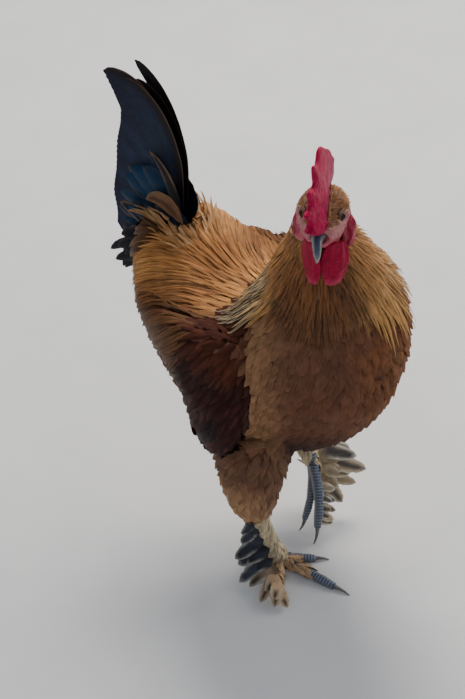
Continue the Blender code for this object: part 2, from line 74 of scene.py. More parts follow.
def step(x, low, high):
    """Smoothly from 0 at low to 1 at high."""
    t = np.clip((x - low) / (high - low), 0, 1)
    return t * t * (3 - 2 * t)


def bell(x, middle, width):
    """1 at the middle, falling off smoothly on both sides."""
    return np.exp(-(((x - middle) / width) ** 2))


def blend(a, b, t):
    """Colours a towards b by t, each one colour or one for each point."""
    t = np.asarray(t)[..., None]
    return np.asarray(a) * (1 - t) + np.asarray(b) * t


def unit(v):
    return v / np.maximum(np.linalg.norm(v, axis=-1, keepdims=True), 1e-12)


def ripple(points, size, seed=0.0):
    """Smooth noise, about -1 to 1, at each point."""
    shift = Vector((seed, seed * 1.7, -seed))
    return np.array([noise.noise(Vector(p) / size + shift) for p in points])


def in_head(points):
    """Points in the head's own frame, in centimetres: it faces -Y."""
    d = (np.asarray(points) - HEAD) / CM
    c, s = math.cos(-HEAD_TURN), math.sin(-HEAD_TURN)
    return np.stack((d[..., 0] * c - d[..., 1] * s, d[..., 0] * s + d[..., 1] * c, d[..., 2]), -1)


def out_of_head(local):
    """Places in the head's frame, in centimetres, as points."""
    local = np.asarray(local, float)
    c, s = math.cos(HEAD_TURN), math.sin(HEAD_TURN)
    x, y = local[..., 0] * c - local[..., 1] * s, local[..., 0] * s + local[..., 1] * c
    return np.stack((x, y, local[..., 2]), -1) * CM + HEAD


# ---------------------------------------------------------------- meshes


def link(name, mesh):
    obj = bpy.data.objects.new(name, mesh)
    bpy.context.scene.collection.objects.link(obj)
    return obj


def from_arrays(name, verts, faces):
    """A smooth mesh from an array of points and an array of quads or triangles."""
    mesh = bpy.data.meshes.new(name)
    sides = faces.shape[1]
    mesh.vertices.add(len(verts))
    mesh.vertices.foreach_set("co", np.ascontiguousarray(verts, np.float32).ravel())
    mesh.loops.add(faces.size)
    mesh.loops.foreach_set("vertex_index", faces.ravel().astype(np.int32))
    mesh.polygons.add(len(faces))
    mesh.polygons.foreach_set("loop_start", np.arange(0, faces.size, sides, dtype=np.int32))
    mesh.update(calc_edges=True)
    mesh.polygons.foreach_set("use_smooth", np.ones(len(faces), bool))
    return mesh


def paint(mesh, colours):
    """Stores a colour for each vertex."""
    layer = mesh.color_attributes.new("tint", "FLOAT_COLOR", "POINT")
    rgba = np.ones((len(mesh.vertices), 4), np.float32)
    rgba[:, :3] = np.clip(colours, 0, 1)
    layer.data.foreach_set("color", rgba.ravel())


def uv_map(mesh, name, per_vertex):
    layer = mesh.uv_layers.new(name=name)
    index = np.empty(len(mesh.loops), np.int32)
    mesh.loops.foreach_get("vertex_index", index)
    layer.data.foreach_set("uv", per_vertex[index].astype(np.float32).ravel())


def coordinates(mesh):
    out = np.empty(len(mesh.vertices) * 3, np.float32)
    mesh.vertices.foreach_get("co", out)
    return out.reshape(-1, 3).astype(float)


def normals_of(mesh):
    out = np.empty(len(mesh.vertices) * 3, np.float32)
    mesh.vertices.foreach_get("normal", out)
    return out.reshape(-1, 3).astype(float)


def move(mesh, points):
    mesh.vertices.foreach_set("co", points.astype(np.float32).ravel())
    mesh.update()


def fused(parts, *, voxel, rounds, grow):
    """One smooth closed mesh round these meshes, or the part's nodes of these names. Sizes are in metres."""
    bm = bmesh.new()
    for part in parts:
        bm.from_mesh(NODES[part].data if isinstance(part, str) else part)
    bmesh.ops.remove_doubles(bm, verts=bm.verts[:], dist=1e-5)
    bm.normal_update()
    for v in bm.verts:
        v.co += v.normal * grow
    mesh = bpy.data.meshes.new("whole")
    bm.to_mesh(mesh)
    bm.free()
    obj = link("whole", mesh)
    remesh = obj.modifiers.new("remesh", "REMESH")
    remesh.mode, remesh.voxel_size = "VOXEL", voxel
    smooth = obj.modifiers.new("smooth", "SMOOTH")
    smooth.factor, smooth.iterations = 0.5, rounds
    made = bpy.data.meshes.new_from_object(obj.evaluated_get(bpy.context.evaluated_depsgraph_get()))
    bpy.data.objects.remove(obj)
    bpy.data.meshes.remove(mesh)
    made.polygons.foreach_set("use_smooth", np.ones(len(made.polygons), bool))
    return made


def closed(name, upper, under):
    """A closed mesh between two grids of points."""
    verts = np.concatenate((upper.reshape(-1, 3), under.reshape(-1, 3)))
    index = np.arange(upper[..., 0].size).reshape(upper.shape[:2])
    a, b, c, d = index[:-1, :-1], index[:-1, 1:], index[1:, 1:], index[1:, :-1]
    top = np.stack((a, b, c, d), -1).reshape(-1, 4)
    rim = np.concatenate((index[0], index[1:, -1], index[-1, -2::-1], index[-2:0:-1, 0]))
    after = np.roll(rim, -1)
    wall = np.stack((rim, rim + index.size, after + index.size, after), -1)
    return from_arrays(name, verts, np.concatenate((top, top[:, ::-1] + index.size, wall)))


def slab(name, grid, thickness):
    """A closed mesh about a grid of places in the head's frame; both are in centimetres."""
    grid = out_of_head(grid)
    normal = unit(np.cross(np.gradient(grid, axis=0), np.gradient(grid, axis=1)))
    offset = normal * thickness[..., None] / 2 * CM
    return closed(name, grid + offset, grid - offset)


def piece(name, mesh, skin, slot, *nodes):
    """A finished piece of the bird, which may stand for CAD nodes."""
    mesh.materials.clear()
    mesh.materials.append(skin)
    obj = link(name, mesh)
    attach(obj, "root")
    if nodes:
        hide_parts(*nodes)
    return obj


# ---------------------------------------------------------------- materials


class Shader:
    """A Principled material being wired."""

    def __init__(self, name, **sockets):
        self.material = bpy.data.materials.new(name)
        self.material.use_nodes = True
        self.tree = self.material.node_tree
        self.main = self.tree.nodes["Principled BSDF"]
        for key, value in sockets.items():
            self.main.inputs[key.replace("_", " ")].default_value = value

    def node(self, kind, **values):
        made = self.tree.nodes.new(kind)
        for key, value in values.items():
            setattr(made, key, value)
        return made

    def join(self, source, target):
        self.tree.links.new(source, target)

    def tint(self):
        return self.node("ShaderNodeAttribute", attribute_name="tint").outputs["Color"]

    def noise(self, scale, detail, source=None, stretch=None):
        """Smooth noise over the object's own places, or over another source, which may be stretched."""
        made = self.node("ShaderNodeTexNoise")
        made.inputs["Scale"].default_value = scale
        made.inputs["Detail"].default_value = detail
        if source is None:
            source = self.node("ShaderNodeTexCoord").outputs["Object"]
        if stretch is not None:
            mapping = self.node("ShaderNodeMapping")
            mapping.inputs["Scale"].default_value = stretch
            self.join(source, mapping.inputs["Vector"])
            source = mapping.outputs["Vector"]
        self.join(source, made.inputs["Vector"])
        return made.outputs["Fac"]

    def scaled(self, value, low, high):
        """Noise, which lies mostly from 0.3 to 0.7, spread from low to high."""
        made = self.node("ShaderNodeMapRange")
        self.join(value, made.inputs["Value"])
        for key, number in (("From Min", 0.3), ("From Max", 0.7), ("To Min", low), ("To Max", high)):
            made.inputs[key].default_value = number
        return made.outputs["Result"]

    def times(self, colour, factor):
        """The colour made lighter or darker."""
        made = self.node("ShaderNodeVectorMath", operation="SCALE")
        self.join(colour, made.inputs[0])
        self.join(factor, made.inputs["Scale"])
        return made.outputs["Vector"]

    def bump(self, height, distance, strength, under=None):
        made = self.node("ShaderNodeBump")
        made.inputs["Distance"].default_value = distance
        made.inputs["Strength"].default_value = strength
        self.join(height, made.inputs["Height"])
        if under is not None:
            self.join(under, made.inputs["Normal"])
        return made.outputs["Normal"]

    def finish(self, colour, normal=None):
        self.join(colour, self.main.inputs["Base Color"])
        if normal is not None:
            self.join(normal, self.main.inputs["Normal"])
        return self.material


def vane_material(name, **sockets):
    """Feather: fine slanting barbs, a paler or darker grain along the vane, and uneven depth of colour."""
    s = Shader(name, **sockets)
    uv = s.node("ShaderNodeUVMap", uv_map="vane").outputs["UV"]
    grain = s.scaled(s.noise(1.0, 4.0, uv, (26.0, 2.2, 1.0)), 0.62, 1.32)
    fine = s.scaled(s.noise(1.0, 2.0, uv, (7.0, 60.0, 1.0)), 0.80, 1.16)
    patch = s.scaled(s.noise(90.0, 3.0), 0.86, 1.14)
    colour = s.times(s.times(s.times(s.tint(), grain), fine), patch)
    normal = s.bump(s.noise(1.0, 3.0, uv, (34.0, 3.0, 1.0)), 0.0006, 0.8)
    return s.finish(colour, normal)


def skin_material(name, pimple, depth, **sockets):
    """Skin, scales or horn: uneven colour over fine pimples and wrinkles."""
    s = Shader(name, **sockets)
    blotch = s.scaled(s.noise(260.0, 4.0), 0.80, 1.18)
    spots = s.scaled(s.noise(900.0, 2.0), 0.85, 1.12)
    normal = s.bump(s.noise(pimple, 3.0), depth, 0.9)
    normal = s.bump(s.noise(pimple * 0.28, 3.0), depth * 2.4, 0.7, normal)
    return s.finish(s.times(s.times(s.tint(), blotch), spots), normal)


# ---------------------------------------------------------------- the skin under the coat


def flesh_finder():
    """A search tree over the flesh nodes as modelled, with each face's node."""
    verts, faces, labels = [], [], []
    for index, name in enumerate(FLESH):
        mesh = NODES[name].data
        start = len(verts)
        verts += [tuple(v.co) for v in mesh.vertices]
        for poly in mesh.polygons:
            faces.append([start + i for i in poly.vertices])
            labels.append(index)
    return BVHTree.FromPolygons(verts, faces), np.array(labels)


def label_of(points):
    return np.array([LABELS[NEAREST_FLESH.find_nearest(Vector(p))[2]] for p in points])


def bare_face(points):
    """1 on the bare skin round the eyes and cheeks, 0 under feathers."""
    q = in_head(points)
    side = np.abs(q[..., 0])
    oval = ((q[..., 1] + 0.8) / 2.1) ** 2 + ((q[..., 2] + 0.85) / 1.75) ** 2
    front = step(-q[..., 1], 1.5, 2.5) * step(q[..., 2], -2.8, -1.9) * (1 - step(q[..., 2], -0.1, 0.8))
    cheek = (1 - step(oval, 0.55, 1.15)) * step(side, 0.4, 1.2)
    return np.maximum(cheek, front) * step(-q[..., 1], -1.7, -0.9)


def coat_depth(points, labels):
    """How far the skin lies inside the part's surface."""
    depth = np.array(list(FLESH.values()))[labels]
    near = np.linalg.norm(points - HEAD, axis=-1)
    depth = np.where(near < 0.05, np.minimum(depth, 0.0012 + (near - 0.02) * 0.1), depth)
    return np.where(points[..., 2] > 0, depth * (1 - bare_face(points)) + 0.0004 * bare_face(points), depth)


def relaxed(mesh, weight, rounds):
    """The mesh's points, smoothed where weight is more than 0."""
    points = coordinates(mesh)
    edges = np.empty(len(mesh.edges) * 2, np.int32)
    mesh.edges.foreach_get("vertices", edges)
    a, b = edges.reshape(-1, 2).T
    beside = np.bincount(a, minlength=len(points)) + np.bincount(b, minlength=len(points))
    share = (weight * 0.5)[:, None]
    for _ in range(rounds):
        total = [np.bincount(a, x[b], len(x)) + np.bincount(b, x[a], len(x)) for x in points.T]
        points = points * (1 - share) + np.stack(total, 1) / beside[:, None] * share
    return points


def saddle_bridge(side):
    """A filling between the back and the top of the wing, since the saddle hangs across both."""
    off, along = np.linspace(2.5, 11.8, 32), np.linspace(-7.5, 11.0, 38)
    high = np.full((len(along), len(off)), -99.0)
    for i, y in enumerate(along):
        for j, x in enumerate(off):
            hit = NEAREST_FLESH.ray_cast(Vector((side * x + MIDDLE, y, 90)) * CM, Vector((0, 0, -1)))[0]
            if hit is not None and hit.z > 0.28:
                high[i, j] = hit.z / CM
    level = high.copy()
    for j in range(len(off)):
        for k in range(j + 2, len(off)):
            share = (off[j:k + 1] - off[j]) / (off[k] - off[j])
            line = high[:, j:j + 1] * (1 - share) + high[:, k:k + 1] * share
            level[:, j:k + 1] = np.maximum(level[:, j:k + 1], line)
    last = np.array([max(np.nonzero(row > 0)[0]) for row in high])
    inside = np.minimum(np.arange(len(off)), last[:, None])
    level = np.take_along_axis(level, inside, 1) - 0.35
    place = np.stack(np.broadcast_arrays(side * (off[inside] - 0.3) + MIDDLE, along[:, None], level), -1)
    return closed("bridge", place * CM, (place - np.array((0, 0, 2.5))) * CM)


def make_skin():
    """One closed skin over all the flesh, as deep under the part's surface as the coat is thick."""
    mesh = fused([*FLESH, saddle_bridge(-1), saddle_bridge(1)], voxel=0.0024, rounds=14, grow=0.0004)
    x, y, z = coordinates(mesh).T / CM
    draped = step(np.abs(x - MIDDLE), 4.0, 6.0) * step(y, -7.5, -4.0) * step(z, 30.0, 32.5)
    draped *= 1 - step(z, 37.5, 39.5)
    move(mesh, relaxed(mesh, np.maximum(draped, 0.25 * step(y, 2, 5)), rounds=90))
    points, normals = coordinates(mesh), normals_of(mesh)
    points -= normals * coat_depth(points, label_of(points))[:, None]
    move(mesh, points)
    points = coordinates(mesh)
    q = in_head(points)
    under = blend(blend(BROWN, RUST, 0.5), (0.34, 0.16, 0.07), step(points[:, 2], 0.35, 0.42))
    pink = step(bare_face(points), 0.3, 0.85) * (1 - step(q[:, 2], 0.2, 0.7))
    paint(mesh, blend(under, blend(PINK, ROSE, step(-q[:, 2], -0.6, 1.4)), pink))
    return mesh


def face_skin():
    """The bare skin of the face on a finer grid, with creases that run down from the eye to the wattle."""
    mesh = fused(["head"], voxel=0.0008, rounds=14, grow=0.0003)
    bm = bmesh.new()
    bm.from_mesh(mesh)
    spare = [f for f in bm.faces if bare_face(np.array(f.calc_center_median())) < 0.02]
    bmesh.ops.delete(bm, geom=spare, context="FACES")
    bm.to_mesh(mesh)
    bm.free()
    points, normals = coordinates(mesh), normals_of(mesh)
    q = in_head(points)
    x, y, z = q.T
    bare = bare_face(points)
    warp = ripple(q, 1.3, 2.0) * 0.9
    broad = np.abs(np.sin(math.pi * (1.5 * y + 0.45 * z + warp))) ** 0.6
    narrow = np.abs(np.sin(math.pi * (2.6 * y - 0.5 * z + 1.4 * warp + 0.3))) ** 0.7
    behind = step(y, -1.6, -0.2) * (1 - step(z, 0.2, 0.9))
    rise = 0.0002 + (broad - 0.6) * 0.0008 * (0.35 + behind) + (narrow - 0.6) * 0.0004
    rise += ripple(q, 0.25, 3.0) * 0.0002
    socket = np.hypot(y + 0.95, z - 0.6)
    brow = 0.0008 * bell(socket, 0.85, 0.16) - 0.0014 * np.exp(-((socket / 0.55) ** 4))
    rise += np.where(np.abs(x) > 1.2, brow, 0)
    border = 0.0026 * (1 - step(bare, 0.0, 0.6))
    move(mesh, points + normals * (rise * step(bare, 0.1, 0.6) - border)[:, None])
    colour = blend(PINK, ROSE, np.clip(step(-z, -0.4, 1.6) + 0.5 * behind - 0.3, 0, 1))
    # Painted shade: the grooves of the creases are painted a darker red, most behind and below the eye.
    colour = blend(colour, (0.30, 0.03, 0.06), 0.55 * (1 - broad) * (0.3 + 0.7 * behind))
    colour = blend(colour, (0.33, 0.16, 0.12), 0.6 * bell(socket, 0, 0.9))
    paint(mesh, blend((0.30, 0.15, 0.09), colour, step(bare, 0.3, 0.85) * (1 - step(z, 0.2, 0.7))))
    return mesh


def flow_guides():
    """Where the feathers point, as places and directions in centimetres in the part's frame."""
    rows = [
        # throat, breast and belly
        ((0, -19.3, 34), (0, -0.3, -1)), ((-3, -19.6, 28), (-0.05, 0.1, -1)),
        ((3, -19.6, 28), (0.05, 0.1, -1)),
        ((0, -17.5, 22.5), (0, 0.45, -0.9)), ((0, -12, 18.6), (0, 0.85, -0.5)), ((0, -5, 16.5), (0, 1, -0.1)),
        ((0, 2, 18.5), (0, 0.93, 0.35)), ((0, 7, 23), (0, 0.75, 0.6)), ((0, 11, 27), (0, 0.8, -0.2)),
        ((0, 13.6, 33), (0, 0.6, -0.8)),
        # back and saddle on the middle line
        ((0, -6, 40), (0, 0.75, -0.65)), ((0, -3, 37), (0, 0.97, -0.2)), ((0, 2, 36.5), (0, 1, 0.02)),
        ((0, 6, 37.6), (0, 0.94, 0.3)), ((0, 9.4, 39), (0, 0.5, 0.86)), ((0, 12.2, 38.6), (0, 0.9, 0.3)),
    ]
    sides = [
        # side of the breast, shoulder and cape
        ((8, -15, 32), (0.1, 0.45, -0.9)), ((9.5, -11, 27), (0.05, 0.6, -0.8)),
        ((7, -12, 20.5), (-0.2, 0.75, -0.6)),
        ((8.5, -10, 37), (0.25, 0.35, -0.9)), ((7, -5, 38), (0.3, 0.6, -0.7)), ((8, -2, 24), (0, 0.8, -0.55)),
        ((8, 4, 24), (0, 0.85, -0.4)), ((6, 8, 26), (-0.1, 0.8, -0.5)),
        # saddle draped over the back of the wing
        ((3.5, 0, 36.3), (0.35, 0.92, -0.15)), ((3.5, 5, 36.8), (0.5, 0.85, -0.05)),
        ((6.5, -1, 35), (0.4, 0.8, -0.45)),
        ((6.5, 4, 34.6), (0.45, 0.65, -0.6)), ((8.8, 1, 32), (0.1, 0.6, -0.8)),
        ((8.3, 6, 31.5), (0.05, 0.5, -0.86)),
        ((4.5, 9, 36.5), (0.5, 0.7, -0.5)), ((6.5, 10, 32), (0.1, 0.5, -0.86)),
        ((3, 12.5, 34), (0.2, 0.6, -0.78)),
        ((2.2, 9.4, 38.4), (0.15, 0.6, 0.78)), ((4, 12, 28), (0.05, 0.6, -0.8)),
        # wing
        ((11, -8.5, 32), (0.1, 0.35, -0.93)), ((11.6, -6, 27), (0, 0.3, -0.95)),
        ((11.3, -4.5, 22), (-0.1, 0.35, -0.93)),
        ((11.4, -2.5, 31), (0, 0.5, -0.86)), ((10.5, 2, 31.5), (-0.05, 0.75, -0.65)),
        ((9, 6, 32), (-0.1, 0.8, -0.6)),
        # thighs
        ((5.5, -7, 14), (0, 0.05, -1)), ((5.5, -3, 13), (0, 0.25, -0.97)), ((5.5, -6.5, 9), (0, 0.0, -1)),
        ((5.5, 1, 15), (0, 0.5, -0.86)),
    ]
    for (x, y, z), (dx, dy, dz) in sides:
        rows += [((side * x + MIDDLE, y, z), (side * dx, dy, dz)) for side in (1, -1)]
    # head and neck: away from the beak, then down all round
    neck = [(-4.6, -14.1, 54), (-4.4, -13.8, 51.5), (-4.0, -13.6, 47.6), (-2.7, -13.4, 43.8),
            (-1.5, -13.2, 40),
            (-0.7, -12.7, 36.4)]
    for a, b in zip(neck, neck[1:]):
        rows.append((a, tuple(np.subtract(b, a))))
        rows.append((b, tuple(np.subtract(b, a))))
    back_of_head = [(0, 0.5, 2.4), (0, 2.2, 1.6), (0, -1.0, 2.3), (1.8, 0.8, 1.4), (-1.8, 0.8, 1.4)]
    away = [(0, 1.0, -0.15), (0, 0.8, -0.8), (0, 1.0, 0.0), (0.3, 1.0, -0.3), (-0.3, 1.0, -0.3)]
    away = unit(out_of_head(away) - HEAD)
    rows += [(tuple(p), tuple(d)) for p, d in zip(out_of_head(back_of_head) / CM, away)]
    places = np.array([r[0] for r in rows]) * CM
    return places, unit(np.array([r[1] for r in rows], float))


def skin_flow(points, normals):
    """The lie of the coat at each point, along the skin."""
    apart = ((points[:, None, :] - GUIDE_AT[None]) ** 2).sum(-1)
    weight = 1 / (apart + 0.01**2) ** 1.5
    way = (weight[..., None] * GUIDE_WAY[None]).sum(1)
    way -= normals * (way * normals).sum(-1, keepdims=True)
    return unit(way)


class Ground:
    """A surface that feathers grow on, with the lie of its coat."""

    def __init__(self, mesh, flow):
        self.flow = flow
        points, normals = coordinates(mesh), normals_of(mesh)
        polygons = [tuple(p.vertices) for p in mesh.polygons]
        quads = np.array([p if len(p) == 4 else (*p, p[-1]) for p in polygons])
        self.tree = BVHTree.FromPolygons([tuple(p) for p in points], polygons)
        self.corners = points[quads]
        self.centres = self.corners.mean(1)
        self.normals = unit(normals[quads].mean(1))
        cross = np.cross(self.corners[:, 2] - self.corners[:, 0], self.corners[:, 3] - self.corners[:, 1])
        self.areas = np.linalg.norm(cross, axis=1) / 2
        flat = np.empty(len(mesh.loops) * 2, np.float32)
        mesh.uv_layers["OFBake"].data.foreach_get("uv", flat)
        starts = np.array([p.loop_start for p in mesh.polygons])
        self.maps = flat.reshape(-1, 2)[starts]

    def nearest(self, points):
        """The nearest points of the surface and its smooth normals there."""
        at, face = np.empty_like(points), np.empty(len(points), int)
        for i, p in enumerate(points):
            place, _, index, _ = self.tree.find_nearest(Vector(p))
            at[i], face[i] = place, index
        return at, self.normals[face]

    def scatter(self, wanted, spacing, seed):
        """Evenly strewn roots on the wanted faces; spacing is in metres, for all or for each face."""
        rng = random(seed)
        spacing = np.broadcast_to(spacing, len(self.areas))
        share = self.areas * wanted / spacing**2
        count = int(share.sum() * 6)
        faces = rng.choice(len(share), count, p=share / share.sum())
        a, b = rng.random((2, count, 1))
        c = self.corners[faces]
        points = c[:, 0] * (1 - a) * (1 - b) + c[:, 1] * a * (1 - b) + c[:, 2] * a * b + c[:, 3] * (1 - a) * b
        tree = kdtree.KDTree(count)
        for i, p in enumerate(points):
            tree.insert(p, i)
        tree.balance()
        alive, kept = np.ones(count, bool), []
        for i in range(count):
            if alive[i]:
                kept.append(i)
                for _, j, _ in tree.find_range(points[i], spacing[faces[i]]):
                    alive[j] = False
        return points[kept], faces[kept]

    def trace(self, roots, faces, lengths, steps, jitter, seed):
        """Paths over the surface, following the lie of the coat."""
        stiff = 0.35
        rng = random(seed)
        points, normals = roots.copy(), self.normals[faces]
        way = self.flow(points, normals)
        way = unit(way + np.cross(normals, way) * np.tan(rng.normal(0, jitter, len(points)))[:, None])
        bend = rng.normal(0, jitter * 0.25, len(points))[:, None]
        path, upright = [points], [normals]
        for _ in range(steps):
            ahead = unit(self.flow(points, normals) * (1 - stiff) + way * stiff)
            way = unit(way + (ahead - way) * 0.7 + np.cross(normals, way) * bend)
            points, normals = self.nearest(points + way * (lengths / steps)[:, None])
            way = unit(way - normals * (way * normals).sum(-1, keepdims=True))
            path.append(points)
            upright.append(normals)
        return np.stack(path, 1), np.stack(upright, 1)


# ---------------------------------------------------------------- feathers


# No feather comes lower than this, in metres.
OFF_FLOOR = 0.0003
# One unit of the map "vane", across and along a feather, in metres.
BARB_UNIT = (0.006, 0.02)
# How far apart, in those units, the feathers may lie in that map, so that their grain differs.
MAP_SPREAD = 40


def outline(s, pointed):
    """Half width along a feather from quill to tip: pointed 0 is broad and round, 1 is a lance."""
    pointed = np.asarray(pointed)[:, None]
    rise = np.clip(s / (0.22 + 0.1 * pointed), 0, 1) ** 0.75
    fall = np.clip(1 - s ** (3.6 - 2.2 * pointed), 0, 1) ** (0.5 + 0.35 * pointed)
    return np.maximum(rise * fall, 0.035)


def grids(name, points, colours, uvs, maps):
    """One mesh of many grids. points is (feathers, rows, columns, 3)."""
    n, rows, columns, _ = points.shape
    r, c = np.meshgrid(np.arange(rows - 1), np.arange(columns - 1), indexing="ij")
    first = (r * columns + c).ravel()
    quad = np.stack((first, first + 1, first + columns + 1, first + columns), -1)
    faces = (quad[None] + (np.arange(n) * rows * columns)[:, None, None]).reshape(-1, 4)
    mesh = from_arrays(name, points.reshape(-1, 3), faces)
    paint(mesh, colours.reshape(-1, 3))
    uv_map(mesh, "OFBake", maps.reshape(-1, 2))
    uv_map(mesh, "vane", uvs.reshape(-1, 2))
    return mesh


def vanes(name, path, upright, wide, lift, colour, seed, *, columns=4, pointed=0.5, fray=0.12, camber=0.25,
          roll=0.15, patch, patch_size=(0.0026, 0.0028), ragged=0.0, form=None):
    """Feathers along these paths, from their half width and the heights of quill and tip over the path.

    colour(s, u) gives a colour for each feather, row and column, where s is 0 at the quill and 1 at the tip,
    and u is -1 and 1 at the edges. patch is each feather's place in the map OFBake.
    """
    rng = random(seed)
    n, rows, _ = path.shape
    s = np.linspace(0, 1, rows)[None]
    u = np.linspace(-1, 1, columns + 1)
    pointed = np.broadcast_to(pointed, n)
    along = unit(np.gradient(path, axis=1))
    across = unit(np.cross(along, upright))
    half = wide[:, None] * (outline(s, pointed) if form is None else form(s))
    rim = 1 + fray * rng.normal(0, 1, (n, rows, columns + 1)) * (np.abs(u) > 0.6)
    rim *= 1 + ragged * (np.arange(rows) % 2 - 0.5)[None, :, None] * (np.abs(u) > 0.6)
    low, high = (np.broadcast_to(value, n)[:, None] for value in lift)
    high = low + (high - low) * s**0.8
    tilt = rng.normal(0, roll, n)[:, None]
    offset = half[..., None] * rim * u
    rise = high[..., None] - camber * half[..., None] * u**2 + tilt[..., None] * half[..., None] * u
    points = path[:, :, None] + across[:, :, None] * offset[..., None] + upright[:, :, None] * rise[..., None]
    points[..., 2] = np.maximum(points[..., 2], OFF_FLOOR)
    shade = colour(np.broadcast_to(s, (n, rows))[..., None], u[None, None])
    length = np.linalg.norm(np.diff(path, axis=1), axis=-1).sum(1)
    uv = np.empty((n, rows, columns + 1, 2))
    uv[..., 0] = (u * 0.5 + 0.5)[None, None] * (wide / BARB_UNIT[0])[:, None, None]
    uv[..., 0] += rng.random(n)[:, None, None] * MAP_SPREAD
    uv[..., 1] = (s * (length / BARB_UNIT[1])[:, None])[..., None]
    uv[..., 1] += rng.random(n)[:, None, None] * MAP_SPREAD
    maps = np.empty_like(uv)
    maps[..., 0] = patch[:, None, None, 0] + u[None, None] * patch_size[0] / 2
    maps[..., 1] = patch[:, None, None, 1] + (s[..., None] - 0.5) * patch_size[1]
    return grids(name, points, shade, uv, maps)


def pattern(base, seed, *, streak=0.0, streak_to=BLACK, edge, edge_to, tip=0.0, wide=0.45, start=0.3, fluff,
            vary=0.12):
    """A feather's colours: its base, darker at the quill, with a shaft streak, an edge and a black tip."""
    n = len(base)
    base = base * (1 + random(seed).normal(0, vary, n))[:, None]
    streak, edge, tip = (np.broadcast_to(v, n)[:, None, None] for v in (streak, edge, tip))
    streak_to, edge_to = (np.broadcast_to(np.asarray(c, float), (n, 3))[:, None, None]
                          for c in (streak_to, edge_to))

    def colour(s, u):
        out = np.broadcast_to(base[:, None, None], (n, s.shape[1], u.shape[-1], 3)) * 1.0
        out = out * (1 - fluff * (1 - step(s, 0.0, 0.55)))[..., None]
        out = blend(out, streak_to, streak * bell(u, 0, wide) * step(s, start, start + 0.25))
        border = np.maximum(step(np.abs(u), 0.45, 0.95), step(s, 0.86, 1.0) * 0.9)
        out = blend(out, edge_to, edge * border * step(s, 0.3, 0.6))
        return blend(out, BLACK, tip * step(s, 0.72, 0.95) * np.ones_like(u))

    return colour


def unwrap(obj):
    """Lays the surface out flat in the map that the coat's patches use too."""
    obj.data.uv_layers.new(name="OFBake")
    bpy.context.view_layer.objects.active = obj
    obj.select_set(True)
    bpy.ops.object.mode_set(mode="EDIT")
    bpy.ops.mesh.select_all(action="SELECT")
    bpy.ops.uv.smart_project(angle_limit=math.radians(60), island_margin=0.003)
    bpy.ops.object.mode_set(mode="OBJECT")
    obj.select_set(False)


def coat(name, ground, slot, skin, wanted, seed, *, spacing, size, colours, steps=8, columns=4, jitter=0.10,
         **shape):
    """One piece of coat, with roots where wanted.

    size holds the feathers' length, half width and heights of quill and tip, in centimetres, or is a function
    that gives them. Like colours, it takes the roots as points in centimetres and normals.
    """
    roots, faces = ground.scatter(wanted, spacing * CM, seed)
    p, n = roots / CM, ground.normals[faces]
    length, half, lift = size(p, n) if callable(size) else size
    rng = random(seed + 1)
    count = len(roots)
    uneven = 1 + 0.12 * rng.normal(0, 1, count)
    lengths = np.broadcast_to(length, count) * CM * uneven
    path, upright = ground.trace(roots, faces, lengths, steps, jitter, seed + 2)
    half = np.broadcast_to(half, count) * CM * uneven
    layer = 1 + 0.12 * rng.normal(0, 1, count)
    raised = [np.broadcast_to(height, count) * CM * layer for height in lift]
    tint = colours(p, n, count)
    mesh = vanes(name, path, upright, half, raised, tint, seed + 3, columns=columns, patch=ground.maps[faces],
                 **shape)
    piece(name, mesh, skin, slot)


# ---------------------------------------------------------------- the materials and the skin, made

SOFT = vane_material("soft_feathers", Roughness=0.75, Specular_IOR_Level=0.15)
LONG = vane_material("long_feathers", Roughness=0.52, Specular_IOR_Level=0.22)
WINGS = vane_material("wing_feathers", Roughness=0.5, Specular_IOR_Level=0.09)
GLOSS = vane_material("tail_feathers", Roughness=0.42, Specular_IOR_Level=0.06)
FACE = skin_material("face_skin", pimple=1500.0, depth=0.0001, Roughness=0.55,
                     Specular_IOR_Level=0.3, Subsurface_Weight=0.12, Subsurface_Scale=0.003)
FLESHY = skin_material("comb_skin", pimple=1300.0, depth=0.00012, Roughness=0.5,
                       Specular_IOR_Level=0.12, Subsurface_Weight=0.1, Subsurface_Scale=0.002)

NEAREST_FLESH, LABELS = flesh_finder()
GUIDE_AT, GUIDE_WAY = flow_guides()
skin_mesh = make_skin()
skin_piece = piece("skin", skin_mesh, FACE, "face", *FLESH)
piece("bare_face", face_skin(), FACE, "face")
unwrap(skin_piece)
BODY = Ground(skin_mesh, skin_flow)


# ---------------------------------------------------------------- the body's coat


def soft_noise(p, size, seed):
    """Smooth noise, about 0 to 1, at places in centimetres."""
    return ripple(p * CM, size * CM, seed) * 0.5 + 0.5


def from_head(p):
    """How far places in centimetres are from the head's middle."""
    return np.linalg.norm(p - HEAD / CM, axis=1)


# Colours of each coat, and sizes of its feathers, at the roots: p is places in centimetres, n is normals.


def breast_colours(p, n, count):
    x, y, z = p.T
    around = np.degrees(np.arctan2(x + 0.4, -8 - y))
    high = 9 * step(z, 31, 35)
    right = step(-around, 42, 86) * (1 - step(-around, 84 - high, 96 - high)) * step(z, 18, 24)
    # left is painted light: the bird's left side of the breast is painted lighter, where the light falls on it.
    left = step(around, -30, 5)
    low = 1 - step(z, 22, 31)
    base = blend(BREAST, (0.21, 0.080, 0.032), left)
    base = blend(base, RUST, 0.3 * step(soft_noise(p, 4.0, 2.0), 0.45, 0.75))
    # Painted shade: the lower breast is painted darker towards the bottom; the darker patches at random are the
    # feathers' own tone.
    base = blend(base, CHESTNUT, np.maximum(low * 0.9, 0.3 * step(soft_noise(p, 2.5, 7.0), 0.5, 0.8)))
    base = blend(base, BUFF, right * (0.75 + 0.25 * soft_noise(p, 2.0, 1.0)))
    base = blend(base, blend(MAHOGANY, COPPER, 0.4), step(-around, 86 - high, 98 - high))
    specks = (random(31).random(count) < 0.012) * 0.8
    border = blend(base, (0.50, 0.28, 0.12), 0.35)
    return pattern(base, 11, edge=0.08, edge_to=border, tip=specks, fluff=0.12, vary=0.08)


